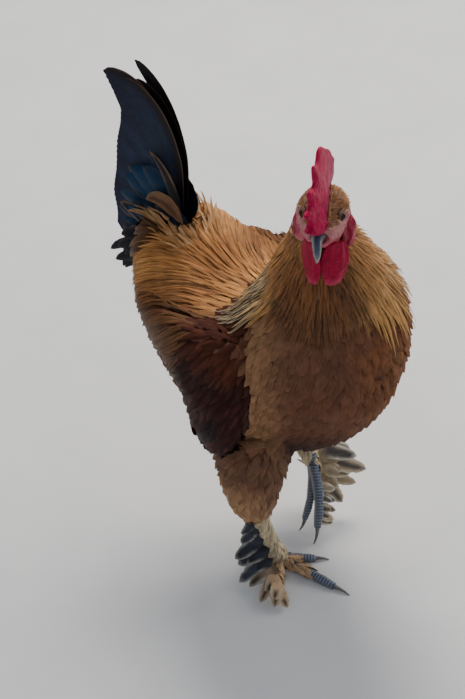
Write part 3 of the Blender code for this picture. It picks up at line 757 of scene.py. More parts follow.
def belly_colours(p, n, count):
    base = blend((0.10, 0.04, 0.017), (0.18, 0.08, 0.032), soft_noise(p, 5.0, 4.0))
    base = blend(base, (0.05, 0.032, 0.024), step(p[:, 1], 9, 13) * 0.7)
    return pattern(base, 12, edge=0.15, edge_to=blend(base, BUFF, 0.4), fluff=0.3)


def back_colours(p, n, count):
    x, y, z = p.T
    over = step(z, 33, 37)
    base = blend(blend(RUST, ORANGE, 0.15), blend(GOLD, ORANGE, 0.55), over)
    base = blend(base, GOLD, 0.6 * over * step(soft_noise(p, 3.0, 9.0), 0.4, 0.7))
    base = blend(base, BUFF, 0.5 * step(y, 6.0, 9.0) * step(z, 36, 38.5))
    base = blend(base, RUST, 0.6 * step(soft_noise(p, 2.0, 5.0), 0.5, 0.8))
    # Painted shade: low on the saddle the feathers get more dark streaks.
    low = 1 - step(z, 31, 36)
    outer = np.maximum(step(np.abs(x - MIDDLE), 3.6, 7.2), step(y, 8.0, 13.0))
    # Painted light and shade: the top of the saddle is painted lighter, and its low parts, its sides and its
    # rear darker.
    painted_light_and_shade = (1.6 - 1.1 * np.maximum(1 - step(z, 32.0, 37.0), outer))[:, None]
    base = base * painted_light_and_shade
    streak = np.clip(random(41).normal(0.12, 0.22, count) + 0.4 * low, 0, 0.9)
    border = base * 0.5 + np.array((0.70, 0.38, 0.09)) * 0.5 * painted_light_and_shade
    return pattern(base, 13, streak=streak, streak_to=blend((0.04, 0.012, 0.006), BLACK, 0.3), start=0.1,
                   edge=0.45, edge_to=border, fluff=0.2, vary=0.15)


def tuft_colours(p, n, count):
    base = blend(blend(GOLD, ORANGE, 0.5), (0.52, 0.30, 0.14), random(45).random(count))
    return pattern(base, 19, streak=0.15, wide=0.4, edge=0.4, edge_to=blend(base, PALE, 0.4), fluff=0.3,
                   vary=0.15)


def wing_colours(p, n, count):
    bow = step(p[:, 2], 31.5, 35.5) * (1 - step(p[:, 1], -3.0, 1.0))
    base = blend(MAROON, MAHOGANY, step(soft_noise(p, 2.5, 3.0), 0.3, 0.7))
    base = blend(base, COPPER, 0.85 * bow)
    base = blend(base, (0.05, 0.014, 0.009), 0.6 * step(p[:, 1], -7.0, -4.0))
    streak = np.clip(random(42).normal(0.15, 0.25, count), 0, 0.7)
    return pattern(base, 14, streak=streak, streak_to=(0.15, 0.05, 0.03), wide=0.22, edge=0.35,
                   edge_to=(0.010, 0.004, 0.004), fluff=0.3, vary=0.2)


def thigh_colours(p, n, count):
    x, _, z = p.T
    hock = 1 - step(z, 9.5, 14.5)
    base = blend(TAN, (0.52, 0.32, 0.175), hock * 0.8)
    base = blend(base, BROWN, (0.55 - 0.35 * hock) * step(soft_noise(p, 2.5, 6.0), 0.4, 0.7))
    base = blend(base, BROWN, 0.5 * step(z, 13.5, 17))
    # Painted light: low on each thigh the outer side is painted lighter than the inner side, which lies in
    # shade.
    base = blend(base, (0.50, 0.28, 0.13), 0.6 * step(np.abs(x + 0.4), 4.8, 8.0) * (1 - step(z, 14.5, 18)))
    return pattern(base, 15, edge=0.2, edge_to=blend(base, BUFF, 0.5), fluff=0.25, vary=0.13)


def striped(p):
    """1 where the cape's feathers are black with cream edges, over the right shoulder."""
    return step(-p[:, 0], 3.0, 5.0) * step(p[:, 1], -11.2, -9.4) * step(from_head(p), 7.0, 9.0)


def hackle_colours(p, n, count):
    away = from_head(p)
    throat = step(n @ FACING, 0.45, 0.85) * step(away, 3.5, 6.0)
    base = blend(blend(ORANGE, GOLD, 0.35), GOLD, step(away, 4, 10))
    base = blend(base, RUST, 0.55 * step(soft_noise(p, 2.2, 8.0), 0.45, 0.8))
    base = blend(base, blend(CHESTNUT, RUST, 0.5), 0.9 * throat)
    # Painted shade: the bird's right side of the neck, near the head, is painted a darker rust.
    base = blend(base, blend(RUST, ORANGE, 0.5), 0.6 * step(-p[:, 0], 4.0, 6.5) * (1 - step(away, 7.0, 10.0)))
    cape = striped(p)
    rng = random(43)
    streak = np.clip(rng.normal(0.15, 0.2, count), 0, 0.6) * (1 - throat)
    streak = np.where(rng.random(count) < 0.72 * cape, 1.0, streak)
    dark = blend((0.06, 0.025, 0.012), (0.003, 0.003, 0.003), cape)
    base = blend(base, (0.50, 0.38, 0.21), 0.85 * cape * rng.random(count))
    bright = blend(base, (0.74, 0.44, 0.10), 0.6)
    bright = blend(bright, (0.85, 0.76, 0.52), 0.8 * cape)
    return pattern(base, 16, streak=streak, streak_to=dark, wide=0.42 + 0.40 * cape[:, None, None], start=0.2,
                   edge=0.6 * (1 - 0.7 * throat), edge_to=bright, fluff=0.15, vary=0.2)


def head_colours(p, n, count):
    q = in_head(p * CM)
    base = blend(blend(BROWN, ORANGE, 0.35), (0.34, 0.17, 0.10), step(soft_noise(p, 0.8, 3.0), 0.4, 0.7))
    base = blend(base, blend(GOLD, ORANGE, 0.5), step(q[:, 1], 0.6, 2.2) * 0.8)
    return pattern(base, 17, edge=0.3, edge_to=blend(base, BUFF, 0.7), fluff=0.3, vary=0.22)


def covert_colours(p, n, count):
    rng = random(44)
    # Painted sheen: a random share of green-blue shine on each black feather.
    base = blend(BLACK, PAINTED_TEAL_SHEEN, rng.random(count))
    base = blend(base, NAVY, rng.random(count) * 0.7)
    front = step(10.5 - p[:, 1], 0.0, 1.5)
    brown = rng.random(count) < 0.35 + 0.4 * front
    base = np.where(brown[:, None], blend((0.16, 0.075, 0.035), BLACK, rng.random(count) * 0.5), base)
    edge = np.where(brown, 0.8, rng.random(count) * 0.35)
    return pattern(base, 18, edge=edge, edge_to=(0.26, 0.14, 0.07), fluff=0.2, vary=0.2)


def wing_size(p, n):
    low = step(30 - p[:, 2], -2, 5)
    return 2.6 + 1.6 * low, 0.5 + 0.18 * low, (0.05, 0.42)


def breast_size(p, n):
    low, inner, right = step(34 - p[:, 2], 0, 10), 1 - step(-p[:, 0], 6, 8), step(-p[:, 0], 7, 9)
    lift = (0.08, 0.32 + 0.30 * step(from_head(p), 14, 19))
    return 2.3 + 0.9 * low * inner - 0.3 * right, 0.60 + 0.2 * low * inner - 0.18 * right, lift


def tail_base_size(p, n):
    return np.where(p[:, 2] > 36, 4.6, 3.4), 0.62, (0.1, 0.8)


def saddle_size(p, n):
    y = p[:, 1]
    length = 3.0 + 3.6 * step(y, -6, 1) - 4.0 * step(y, 3.0, 8.5)
    return length, 0.25 + 0.08 * step(-y, -2, 5), (0.15, 0.66 - 0.25 * step(y, 5.0, 9.0))


def tuft_size(p, n):
    back = p[:, 1] - 5.5
    return 2.3 + 0.2 * back, 0.24, (0.2, 0.8 + 0.45 * back)


def hackle_size(p, n):
    away = from_head(p)
    length = (1.1 + 0.60 * np.clip(away - 2.6, 0, 9)) * (1 - 0.45 * step(n @ FACING, 0.3, 0.8))
    half = 0.10 + 0.013 * np.clip(away - 2.6, 0, 8) + 0.13 * striped(p)
    full = step(in_head(p * CM)[:, 0], 0.0, 1.6) * bell(away, 4.6, 1.9)
    return length, half, (0.06 + 0.008 * away, 0.22 + 0.065 * np.clip(away - 2.6, 0, 11) + 0.55 * full)


def crown_size(p, n):
    return 0.36 + 0.45 * step(in_head(p * CM)[:, 1], -1.5, 2.5), 0.075, (0.02, 0.15)


def make_body_coat():
    """The coat's pieces. Each has its roots on the faces of the skin that its mask picks out."""
    centres = BODY.centres
    x, y, z = centres.T / CM
    up = BODY.normals[:, 2]
    off = np.abs(x - MIDDLE)
    side, back, top = in_head(centres).T
    near = np.linalg.norm(centres - HEAD, axis=1) / CM
    bare = bare_face(centres)
    nearest = np.array(list(FLESH))[label_of(centres)]
    head, lower_neck, breast, trunk, rump = (nearest == name for name in
                                             ("head", "neck_lower", "breast", "trunk", "rump"))
    neck, thigh, on_wing = (np.char.startswith(nearest, word) for word in ("neck", "thigh", "wing"))

    right = 1.3 * step(-x, 4.0, 6.5) * step(y, -9.5, -7.5)
    cape = (near < 13.8 + right - 2.6 * step(BODY.normals @ FACING, 0.1, 0.7)) & (y < 1) & ~on_wing
    front = -2.0 - 0.15 * (z - 31.5) - 5.0 * (1 - step(off, 4.5, 7.5))
    bow = trunk & (z > 29.5) & (y <= front) & (up > -0.1) & (off > 5.0) & (y > -9)
    tail_base = rump & (((y > 8.6) & (z > 36.8) & (np.abs(x + 0.4) < 4.2)) | (y > 11.0) & (z > 28))
    saddle = (z > 29.5) & (y > front) & ((up > -0.15) | (z > 33)) & ~(breast | neck | head | thigh | cape)
    saddle &= ~tail_base & ~((y > 7.5) & (off < 4.0) & (z < 36.0))
    tufts = (rump | trunk) & (y > 5.0) & (y < 9.8) & (up > 0.5) & (off < 2.8)
    wing = (on_wing | bow) & ~saddle & ~cape
    fore = (lower_neck | breast | (trunk & (y < -4))) & ~saddle & ~bow & (near > 11.5)
    rest = (trunk | rump) & ~saddle & ~fore & ~tail_base & ~wing & ~cape
    hackle = (neck | breast | trunk | (head & (back > 0.9))) & cape & (bare < 0.3)
    bald = (np.abs(side) < 0.62) & (top > 1.3) & (back < 2.2)
    crown = head & (bare < 0.62) & ~bald & (back > -3.2)

    coat("belly_feathers", BODY, "plumage", SOFT, rest, 100, spacing=0.85, size=(3.0, 0.75, (0.10, 0.72)),
         colours=belly_colours, steps=6, pointed=0.15, camber=0.2, jitter=0.16)
    coat("thigh_feathers", BODY, "thigh_plumage", SOFT, thigh, 110, spacing=0.55,
         size=(2.2, 0.42, (0.08, 0.55)), colours=thigh_colours, steps=6, pointed=0.3, fray=0.14, camber=0.3,
         jitter=0.16)
    coat("wing_feathers_body", BODY, "wing_plumage", WINGS, wing, 120, spacing=0.62, size=wing_size,
         colours=wing_colours, columns=6, pointed=0.3, fray=0.05, camber=0.3, jitter=0.06, roll=0.08)
    coat("breast_feathers", BODY, "plumage", SOFT, fore, 130, spacing=0.66, size=breast_size,
         colours=breast_colours, steps=7, columns=6, pointed=0.1, fray=0.08, camber=0.22, roll=0.08)
    coat("tail_base_feathers", BODY, "tail_coverts", GLOSS, tail_base, 140, spacing=0.62, size=tail_base_size,
         colours=covert_colours, columns=6, pointed=0.35, fray=0.08, camber=0.3, jitter=0.16)
    coat("saddle_feathers", BODY, "saddle", LONG, saddle, 150, spacing=0.42, size=saddle_size,
         colours=back_colours, steps=10, pointed=0.85, fray=0.07, camber=0.3, jitter=0.075, ragged=0.05)
    coat("saddle_tufts", BODY, "saddle", LONG, tufts, 155, spacing=0.5, size=tuft_size,
         colours=tuft_colours, pointed=0.6, fray=0.1, camber=0.3, jitter=0.3, roll=0.3, ragged=0.05)
    coat("hackle_feathers", BODY, "hackle", LONG, hackle, 160,
         spacing=np.clip(0.13 + 0.020 * near, 0.17, 0.37), size=hackle_size, colours=hackle_colours, steps=10,
         pointed=0.9, fray=0.07, camber=0.3, jitter=0.07, ragged=0.05)
    coat("crown_feathers", BODY, "face", SOFT, crown, 170, spacing=0.13, size=crown_size,
         colours=head_colours, steps=4, columns=2, pointed=0.6, fray=0.1, camber=0.2, jitter=0.25)


make_body_coat()


# ---------------------------------------------------------------- large feathers, one by one


def cells(count, across=5):
    """The middles of the squares that large feathers get in their map, and the squares' size."""
    index = np.arange(count)
    down = math.ceil(count / across)
    centres = np.stack(((index % across + 0.5) / across, (index // across + 0.5) / down), -1)
    return centres, (0.9 / across, 0.9 / down)


def quill_path(roots, tips, bulge, rows):
    """Curved paths from roots to tips, in centimetres; bulge is the offset of the middle."""
    t = np.linspace(0, 1, rows)[None, :, None]
    roots, tips, bulge = (np.asarray(v, float)[:, None] for v in (roots, tips, bulge))
    middle = (roots + tips) / 2 + 2 * bulge
    return (roots * (1 - t) ** 2 + middle * 2 * t * (1 - t) + tips * t * t) * CM


# Tail feathers as in part.py, but for the fifth's width, from the lowest to the sickle: root y, z, tip y, z, bow
# towards the head, and width, in centimetres. LEFT_LAST is the left fan's sixth.
TAIL = [
    (16.8, 33.6, 24.6, 32.2, 0.2, 3.4), (16.8, 34.6, 24.7, 36.0, 0.6, 3.8),
    (16.6, 35.4, 24.2, 40.4, 1.2, 3.9),
    (16.2, 36.0, 23.3, 44.8, 1.9, 3.9), (15.8, 36.6, 22.6, 48.4, 2.6, 3.8),
    (15.6, 37.0, 25.0, 51.8, 4.2, 3.0),
    (15.2, 37.2, 22.2, 53.2, 3.0, 2.2),
]
LEFT_LAST = (15.6, 37.0, 22.4, 51.0, 3.2, 3.0)
COVERTS = [(15.4, 35.6, 21.6, 41.6, 0.6, 4.2), (14.7, 37.4, 18.2, 44.9, 0.4, 2.6)]
# Smaller coverts that overlap them: root y, z, tip y, z, bow, width, and how brown their edge is.
SMALL_COVERTS = [
    (14.6, 36.4, 21.8, 40.0, 0.7, 4.2, 0.0), (14.4, 36.8, 20.8, 41.6, 0.9, 4.2, 0.0),
    (14.2, 37.2, 18.8, 42.8, 0.8, 4.0, 0.1),
    (14.8, 35.8, 22.4, 38.0, 0.5, 2.8, 0.1), (15.0, 35.2, 22.6, 36.0, 0.3, 2.6, 0.2),
    (15.2, 34.6, 22.0, 33.8, 0.2, 2.4, 0.3),
    (13.2, 38.6, 17.2, 45.8, 1.0, 1.9, 0.95), (11.6, 39.6, 17.6, 37.6, 0.4, 2.2, 0.3),
    (12.2, 39.0, 17.8, 39.5, 1.0, 2.6, 0.95),
]


def tail_path(rows, layers, side, count):
    """Paths of tail feathers in a fan whose two sides part as they leave the root."""
    root = np.stack((rows[:, 0] * 0, rows[:, 0], rows[:, 1]), -1)
    tip = np.stack((rows[:, 0] * 0, rows[:, 2], rows[:, 3]), -1)
    along = unit(tip - root)
    forward = np.stack((along[:, 0], -along[:, 2], along[:, 1]), -1)
    path = quill_path(root, tip, rows[:, 4:5] * (forward + 0.45 * along), count)
    off = 0.14 + layers[:, None] * 0.12 + 0.012 * np.hypot(path[..., 1] / CM - 16, path[..., 2] / CM - 36)
    path[..., 0] = side * off * CM
    return path + BODY_SHIFT * CM


def round_tip(s, blunt):
    """Half width along a feather whose tip is a half circle; blunt is the tip's share of the length."""
    over = np.clip((s - 1 + blunt[:, None]) / blunt[:, None], 0, 1)
    return np.maximum((0.4 + 0.6 * np.clip(3 * s, 0, 1)) * np.sqrt(1 - over**2), 0.06)


def tail_feathers(word, side):
    """Main feathers and sickle of one fan, with others between them, in layers outwards."""
    table = np.array(TAIL)
    if side > 0:
        table[5] = LEFT_LAST
    layer = np.concatenate((np.linspace(0, 5, 33), (6.0,)))
    rows = np.stack([np.interp(layer, range(7), table[:, k]) for k in range(6)], 1)
    n = len(rows)
    if side < 0:
        rows[:, 0] -= 1.0 * step(layer, 3.6, 5.0)
        rows[:, 4] += 0.55 * step(layer, 3.6, 5.0)
    shorter = 0.15 * np.sin(4.1 * layer) + 1.2 * (layer > 5.5) * (side < 0)
    rows[:, 2:4] -= shorter[:, None] * unit(rows[:, 2:4] - rows[:, 0:2])
    path = tail_path(rows, layer, side, 26)
    upright = np.broadcast_to(np.array((side, 0.0, 0.0)), path.shape) * 1.0
    base = blend(blend(NAVY, BLACK, 0.3), (0.004, 0.009, 0.034), random(51).random(n) * 0.8)
    # Painted sheen: the lower feathers get a blue shine, in bands from one feather to the next.
    painted_blue_sheen = 0.8 * (0.5 + 0.5 * np.sin(7.5 * layer)) * (1 - step(layer, 3.4, 4.4))
    base = blend(base, (0.009, 0.017, 0.060), painted_blue_sheen)
    base = blend(base, (0.020, 0.013, 0.013), 0.8 * (side > 0))
    length = np.hypot(rows[:, 2] - rows[:, 0], rows[:, 3] - rows[:, 1])

    blunt = np.where(layer > 4.4, 0.36, rows[:, 5] * 0.75 / length)

    def colour(s, u):
        out = np.broadcast_to(base[:, None, None], (n, s.shape[1], u.shape[-1], 3)) * 1.0
        # Painted sheen: a green-blue band along each vane, towards one edge.
        sheen = step(s, 0.1, 0.5) * (1 - step(s, 0.55, 0.95)) * bell(u * side, 0.4, 0.45)
        out = blend(out, PAINTED_TEAL_SHEEN, 0.3 * sheen)
        brown = 0.85 * step(-u * side, -0.25, 0.45) * step(layer, 4.2, 4.8)[:, None, None] * np.ones_like(s)
        out = blend(out, (0.016, 0.010, 0.011), brown)
        front = step(-u * side, 0.82, 0.96) * (layer > 4.9)[:, None, None]
        out = blend(out, (0.21, 0.125, 0.08), 0.85 * front)
        quill = bell(u, 0, 0.05) * np.ones_like(s)
        return blend(out, (0.02, 0.018, 0.02), 0.5 * quill)

    centres, size = cells(n, 5)
    mesh = vanes("tail", path, upright, rows[:, 5] / 2 * CM, (0, 0), colour, 52, columns=14, fray=0.008,
                 camber=0.05, roll=0.0, patch=centres, patch_size=size, form=lambda s: round_tip(s, blunt))
    nodes = [f"tail_{word}_{i}" for i in range(1, 7)] + [f"sickle_{word}"]
    piece(f"tail_feathers_{word}", mesh, GLOSS, "tail_plumage", *nodes)


def tail_coverts(word, side):
    """Coverts of one fan: large ones, smaller ones over them, and many loose ones at the root."""
    rng = random(53)
    rows = [(*row, 0.1, 7.0 + i) for i, row in enumerate(COVERTS)]
    rows += [(*row, 9.0 + 0.9 * i) for i, row in enumerate(SMALL_COVERTS) if side < 0 or row[0] > 14]

    def some(low, more):
        return low + more * rng.random()

    def lay(y, z, degrees, reach, brown, bow, wide, layer):
        turn = math.radians(degrees)
        rows.append((y, z, y + reach * math.cos(turn), z + reach * math.sin(turn), bow, wide, brown, layer))

    for _ in range(30):
        y, z = some(15.6, -1.4), some(33.4, 3.0)
        lay(y, z, -48 + (z - 33.4) * 26 + rng.normal(0, 9), some(3.6, 3.0), 0.85 * (rng.random() < 0.3), 0.3,
            some(1.3, 0.7), some(12, 7))
    for _ in range(22):
        lay(some(14.2, 2.0), some(33.2, 2.6), some(-22, -45), some(4.5, 2.4), 0.1, 0.5, some(1.0, 0.6),
            some(20, 14))
    for _ in range(18):
        lay(some(14.0, 2.0), some(33.8, 2.2), some(-2, -32), some(3.6, 2.2), 0.2, 0.5, some(1.2, 0.6),
            some(18, 16))
    rows = np.array(rows)
    n = len(rows)
    path = tail_path(rows, rows[:, 7], side, 18)
    upright = np.broadcast_to(np.array((side, 0.0, 0.0)), path.shape) * 1.0
    # Painted sheen: green-blue shine is painted into the coverts' colour.
    base = blend(blend(PAINTED_TEAL_SHEEN, NAVY, rng.random(n)), BLACK, 0.5 * rng.random(n))
    base[2:6] = blend(PAINTED_TEAL_SHEEN, NAVY, 0.25)
    base[rows[:, 7] > 20] = blend(BLACK, NAVY, 0.3)
    base[rows[:, 6] > 0.9] = BLACK
    tan = (rows[:, 6] > 0.9) & (rows[:, 3] < 42)
    base[tan] = (0.17, 0.085, 0.042)
    tint = pattern(base, 54, streak=tan * 0.75, streak_to=(0.035, 0.018, 0.012), wide=0.3, start=0.0,
                   edge=rows[:, 6], edge_to=(0.24, 0.14, 0.08), fluff=0.2, vary=0.15)
    centres, size = cells(n, 6)
    mesh = vanes("coverts", path, upright, rows[:, 5] / 2 * CM, (0, 0), tint, 55, columns=10,
                 pointed=np.where(rows[:, 6] > 0.9, 0.65, 0.25), fray=0.04, camber=0.2, roll=0.06,
                 patch=centres, patch_size=size, ragged=0.03)
    nodes = [f"tail_covert_{word}_{i}" for i in (1, 2, 3)]
    piece(f"tail_coverts_{word}", mesh, GLOSS, "tail_coverts", *nodes)


for side, word in ((-1, "right"), (1, "left")):
    tail_feathers(word, side)
    tail_coverts(word, side)


# ---------------------------------------------------------------- legs and feet

# The fans of stiff feathers, root and tip, from the top down, before LEG_SHIFT. The part has none on the toe.
FANS = {
    "right": [((-5.5, -1.4, 7.4), (-6.6, -0.8, 5.4)), ((-5.2, -1.7, 5.8), (-7.3, -0.5, 3.4)),
              ((-4.8, -2.4, 3.6), (-8.3, -1.0, 1.6)), ((-4.9, -3.4, 1.8), (-9.2, -2.4, 0.8)),
              ((-5.6, -4.7, 1.5), (-9.7, -4.6, 0.7)), ((-6.6, -6.2, 1.3), (-9.3, -7.4, 0.6)),
              ((-7.0, -6.9, 1.0), (-8.0, -8.8, 0.5))],
    "left": [((6.9, 4.6, 11.8), (10.7, 2.0, 10.0)), ((6.8, 2.6, 10.4), (12.3, -2.6, 8.6)),
             ((6.8, 0.9, 8.8), (12.1, -4.2, 6.8)), ((6.9, -0.6, 7.0), (11.0, -4.5, 4.2)),
             ((7.1, -0.6, 5.0), (9.6, -4.2, 2.2)), ((7.3, -0.5, 3.4), (7.8, -3.8, 0.9))],
    "toe": [((5.2, -1.7, 5.4), (6.6, -3.0, 4.7)), ((4.6, -2.3, 4.0), (6.0, -3.6, 3.1)),
            ((4.1, -3.0, 2.8), (5.3, -4.2, 1.9)), ((3.7, -3.3, 2.0), (4.9, -4.2, 1.1))],
}
FAN_COUNTS = {"right": 9, "left": 9, "toe": 5}
# Where each foot's toes meet, in the frame, and where they end, before LEG_SHIFT.
FEET = {"right": np.array((-3.0, -3.1, 0.62)) + LEG_SHIFT, "left": np.array((5.8, 0.2, 8.1)) + LEG_SHIFT}
TOE_TIPS = {
    "right": {"middle": (-1.3, -12.3, 0.04), "inner": (1.2, -7.0, 0.04), "outer": (-7.2, -6.8, 0.04),
              "hind": (-2.3, 1.8, 0.04)},
    "left": {"middle": (1.8, -4.1, -0.03), "inner": (2.3, -1.4, -0.03), "outer": (6.8, 0.3, -0.03),
             "hind": (6.8, 3.2, 5.2)},
}
SCALES = skin_material("scaly_skin", pimple=900.0, depth=0.00022, Roughness=0.42, Specular_IOR_Level=0.5)
HORN = skin_material("horn", pimple=420.0, depth=0.0001, Roughness=0.3, Specular_IOR_Level=0.5,
                     Coat_Weight=0.2, Coat_Roughness=0.2)


# Lengths of the plates on toes and shank, in centimetres.
TOE_PLATE, SHANK_PLATE = 0.34, 0.42


def scutes(mesh, word):
    """Overlapping plates along the top of each toe and the front of the shank, with pale rims."""
    points, normals = coordinates(mesh), normals_of(mesh)
    foot = FEET[word]
    p = points / CM
    along, off = [], []
    for tip in TOE_TIPS[word].values():
        way = unit(np.array(tip) + LEG_SHIFT - foot)
        t = (p - foot) @ way
        along.append(t)
        aside = p - foot - np.clip(t, 0, 99)[:, None] * way
        off.append(np.linalg.norm(aside, axis=1) + np.where(t < 0, 5, 0))
    nearest = np.argmin(off, 0)
    t = np.choose(nearest, along)
    on_toe = step(t, 0.4, 0.9)
    above = np.array((0, 0, 1.0)) if word == "right" else np.array((0.1, -0.95, 0.2))
    top = step(normals @ above, 0.05, 0.45)
    shank_t = p[:, 2] * (1.0 if word == "right" else 1.25)
    place = np.where(on_toe > 0.5, t / TOE_PLATE, shank_t / SHANK_PLATE)
    phase = place % 1.0
    plate = np.minimum(1, phase / 0.75) - np.clip((phase - 0.8) / 0.2, 0, 1)
    rim = bell(phase, 0.82, 0.10)
    points += normals * ((plate - 0.6) * 0.00045 * np.maximum(top, 0.15))[:, None]
    points[:, 2] = np.maximum(points[:, 2], 0.0)
    move(mesh, points)
    slate = blend((0.045, 0.06, 0.095), (0.09, 0.115, 0.16), ripple(points, 0.008) * 0.5 + 0.5)
    dark = blend(slate, (0.20, 0.16, 0.13), (1 - top) * 0.5)
    paint(mesh, blend(dark, (0.36, 0.42, 0.50), rim * top * 0.75))


def shank_flow(word):
    foot = FEET[word] * CM
    out = np.array((-0.55, 0.25, -0.5)) if word == "right" else np.array((0.55, -0.1, -0.6))

    def flow(points, normals):
        d = points - foot
        low = step(-d[:, 2], -0.012, -0.002) if word == "right" else step(-d[:, 1], -0.004, 0.006)
        low = low[:, None]
        way = np.array((0.0, 0.0, -1.0)) + out * 0.8
        away = unit(d * np.array((1, 1, 0.2)))
        way = way * (1 - low) + away * low
        way = way - normals * (way * normals).sum(-1, keepdims=True)
        return unit(way)

    return flow


def legs(word, side):
    """Scaly skin, claws, small feathers and fan of one leg."""
    nodes = [f"shank_{word}"] + [f"toe_{toe}_{word}" for toe in TOE_TIPS[word]]
    mesh = fused(nodes, voxel=0.0007, rounds=5, grow=0.0003)
    scutes(mesh, word)
    leg = piece(f"foot_skin_{word}", mesh, SCALES, "scales", *nodes)
    unwrap(leg)
    ground = Ground(mesh, shank_flow(word))
    claws = [f"claw_{toe}_{word}" for toe in TOE_TIPS[word]]
    nails = fused(claws, voxel=0.0004, rounds=2, grow=0.0001)
    points = coordinates(nails)
    points[:, 2] = np.maximum(points[:, 2], 0.0)
    move(nails, points)
    paint(nails, blend((0.055, 0.045, 0.055), (0.20, 0.17, 0.16), ripple(points, 0.004) * 0.5 + 0.5))
    piece(f"claws_{word}", nails, HORN, "claw", *claws)
    small_feathers(word, side, ground)
    fan(word, side)


def small_feathers(word, side, ground):
    """Short feathers down the shank and along the outer and middle toes."""
    p, n = ground.centres / CM, ground.normals
    foot = FEET[word]
    outer = unit(np.array(TOE_TIPS[word]["outer"]) + LEG_SHIFT - foot)
    middle = unit(np.array(TOE_TIPS[word]["middle"]) + LEG_SHIFT - foot)
    d = p - foot
    near = [np.linalg.norm(d - np.clip(d @ way, 0, reach)[:, None] * way, axis=1)
            for way, reach in ((outer, 4.2), (middle, 3.0))]
    if word == "right":
        shank = (p[:, 2] > 1.4) & ((n[:, 1] < 0.5) | (n[:, 0] * side > 0))
        on_toe = (near[0] < 0.85) & (n[:, 2] > -0.3)
        on_toe |= (near[1] < 0.8) & (n[:, 2] > 0.2) & (d @ middle > 0.8)
    else:
        shank = (p[:, 2] > 8.4) & (p[:, 1] > -5) & ((n[:, 0] * side > -0.2) | (n[:, 1] < 0))
        on_toe = (near[0] < 0.8) & (n[:, 0] > 0)

    def colours(p, n, count):
        low = 1 - step(p[:, 2], 1.2, 2.6) if word == "right" else np.zeros(count)
        base = blend(PALE, PEACH, low * 0.7)
        rng = random(61)
        dark = (rng.random(count) < 0.16) * 0.85
        return pattern(base, 62, streak=dark, streak_to=SLATE, edge=0.3, edge_to=(0.7, 0.62, 0.48),
                       fluff=0.35, vary=0.15)

    coat(f"shank_feathers_{word}", ground, "foot_plumage", SOFT, shank | on_toe, 600 + side, spacing=0.26,
         size=(1.25, 0.24, (0.03, 0.28)), colours=colours, steps=5, pointed=0.3, camber=0.3, jitter=0.25)


def fan(word, side):
    """Two layers of stiff feathers that stand out from shank and outer toe, or from the lifted middle toe."""
    rng = random(63 + side)
    rows = np.array(FANS[word], float) + LEG_SHIFT
    count = FAN_COUNTS[word]
    at = np.linspace(0, len(rows) - 1, count)
    low = np.minimum(at.astype(int), len(rows) - 2)
    part = (at - low)[:, None]
    root = rows[low, 0] * (1 - part) + rows[low + 1, 0] * part
    tip = rows[low, 1] * (1 - part) + rows[low + 1, 1] * part
    slide = unit(np.gradient(tip, axis=0))
    root = np.concatenate((root, root[1:-1] + rng.normal(0, 0.1, (count - 2, 3))))
    if word == "left":
        near = np.where(np.arange(count) < 3, 0.5, 0.24 * step(np.arange(count), 3.0, 5.0))[:, None]
        tip = tip * (1 - near) + root[:count] * near
    short = tip[1:-1] * 0.72 + root[count:] * 0.28
    tip = np.concatenate((tip, short))
    slide = np.concatenate((slide, slide[1:-1]))
    n = len(root)
    face = unit(np.cross(tip - root, slide))
    face *= np.sign((face * np.array((-0.55, -0.53, 0.64))).sum(-1, keepdims=True))
    layer = np.where(np.arange(n) < count, 0.0, 0.22) + 0.05 * (np.arange(n) % 3)
    reach = np.linalg.norm(tip - root, axis=1)
    uneven = {"right": 0.28, "left": 0.5, "toe": 0.2}[word]
    shift = slide * rng.normal(0, uneven, n)[:, None]
    tip = tip + shift - (tip - root) * (0.8 * uneven * rng.random(n) ** 2)[:, None]
    bulge = face * (0.08 * reach + 0.1 + rng.normal(0, 0.1, n))[:, None]
    path = quill_path(root - unit(tip - root) * 0.4, tip, bulge, 14) + (face * layer[:, None])[:, None] * CM
    path[..., 2] = np.maximum(path[..., 2], 0.0035)
    upright = np.repeat(face[:, None], 14, 1)
    upper = np.concatenate((np.linspace(0, 1, count), np.linspace(0, 1, count)[1:-1]))
    base = blend(blend(CREAM, PALE, 0.5), PEACH, 0.25 * rng.random(n))
    if word == "right":
        dark = blend(SLATE, (0.03, 0.03, 0.035), rng.random(n) * 0.7)
        base = blend(dark, blend(PEACH, CREAM, 0.5), step(upper, 0.55, 0.75))
        tint = pattern(base, 64, streak=np.where(upper > 0.62, 0.9, 0.2), streak_to=(0.02, 0.02, 0.025),
                       wide=0.42, start=0.45, edge=0.55, edge_to=(0.62, 0.58, 0.50), fluff=0.1)
    else:
        dark = (rng.random(n) < 0.6) | (upper < 0.4) & (word == "left")
        tint = pattern(base, 64, streak=np.where(dark, 0.92, 0.35), streak_to=(0.045, 0.045, 0.055),
                       wide=np.where(upper < 0.4, 1.3, 0.58)[:, None, None], start=0.15,
                       edge=0.5 + 0.4 * (upper < 0.4), edge_to=(0.74, 0.69, 0.58), fluff=0.1)
    centres, size = cells(n, 6)
    half = (0.50 + 0.16 * rng.random(n) + 0.07 * reach) * (0.72 if word == "toe" else 1.0)
    mesh = vanes("fan", path, upright, half * CM, (0, 0), tint, 65, columns=10, pointed=0.12,
                 fray=0.05, camber=0.12, roll=0.10, patch=centres, patch_size=size, ragged=0.06)
    nodes = [] if word == "toe" else [f"foot_feathers_{word}"]
    piece(f"foot_fan_{word}", mesh, SOFT, "foot_plumage", *nodes)


for side, word in ((-1, "right"), (1, "left")):
    legs(word, side)
fan("toe", 3)


# ---------------------------------------------------------------- comb, lobes, beak and eyes


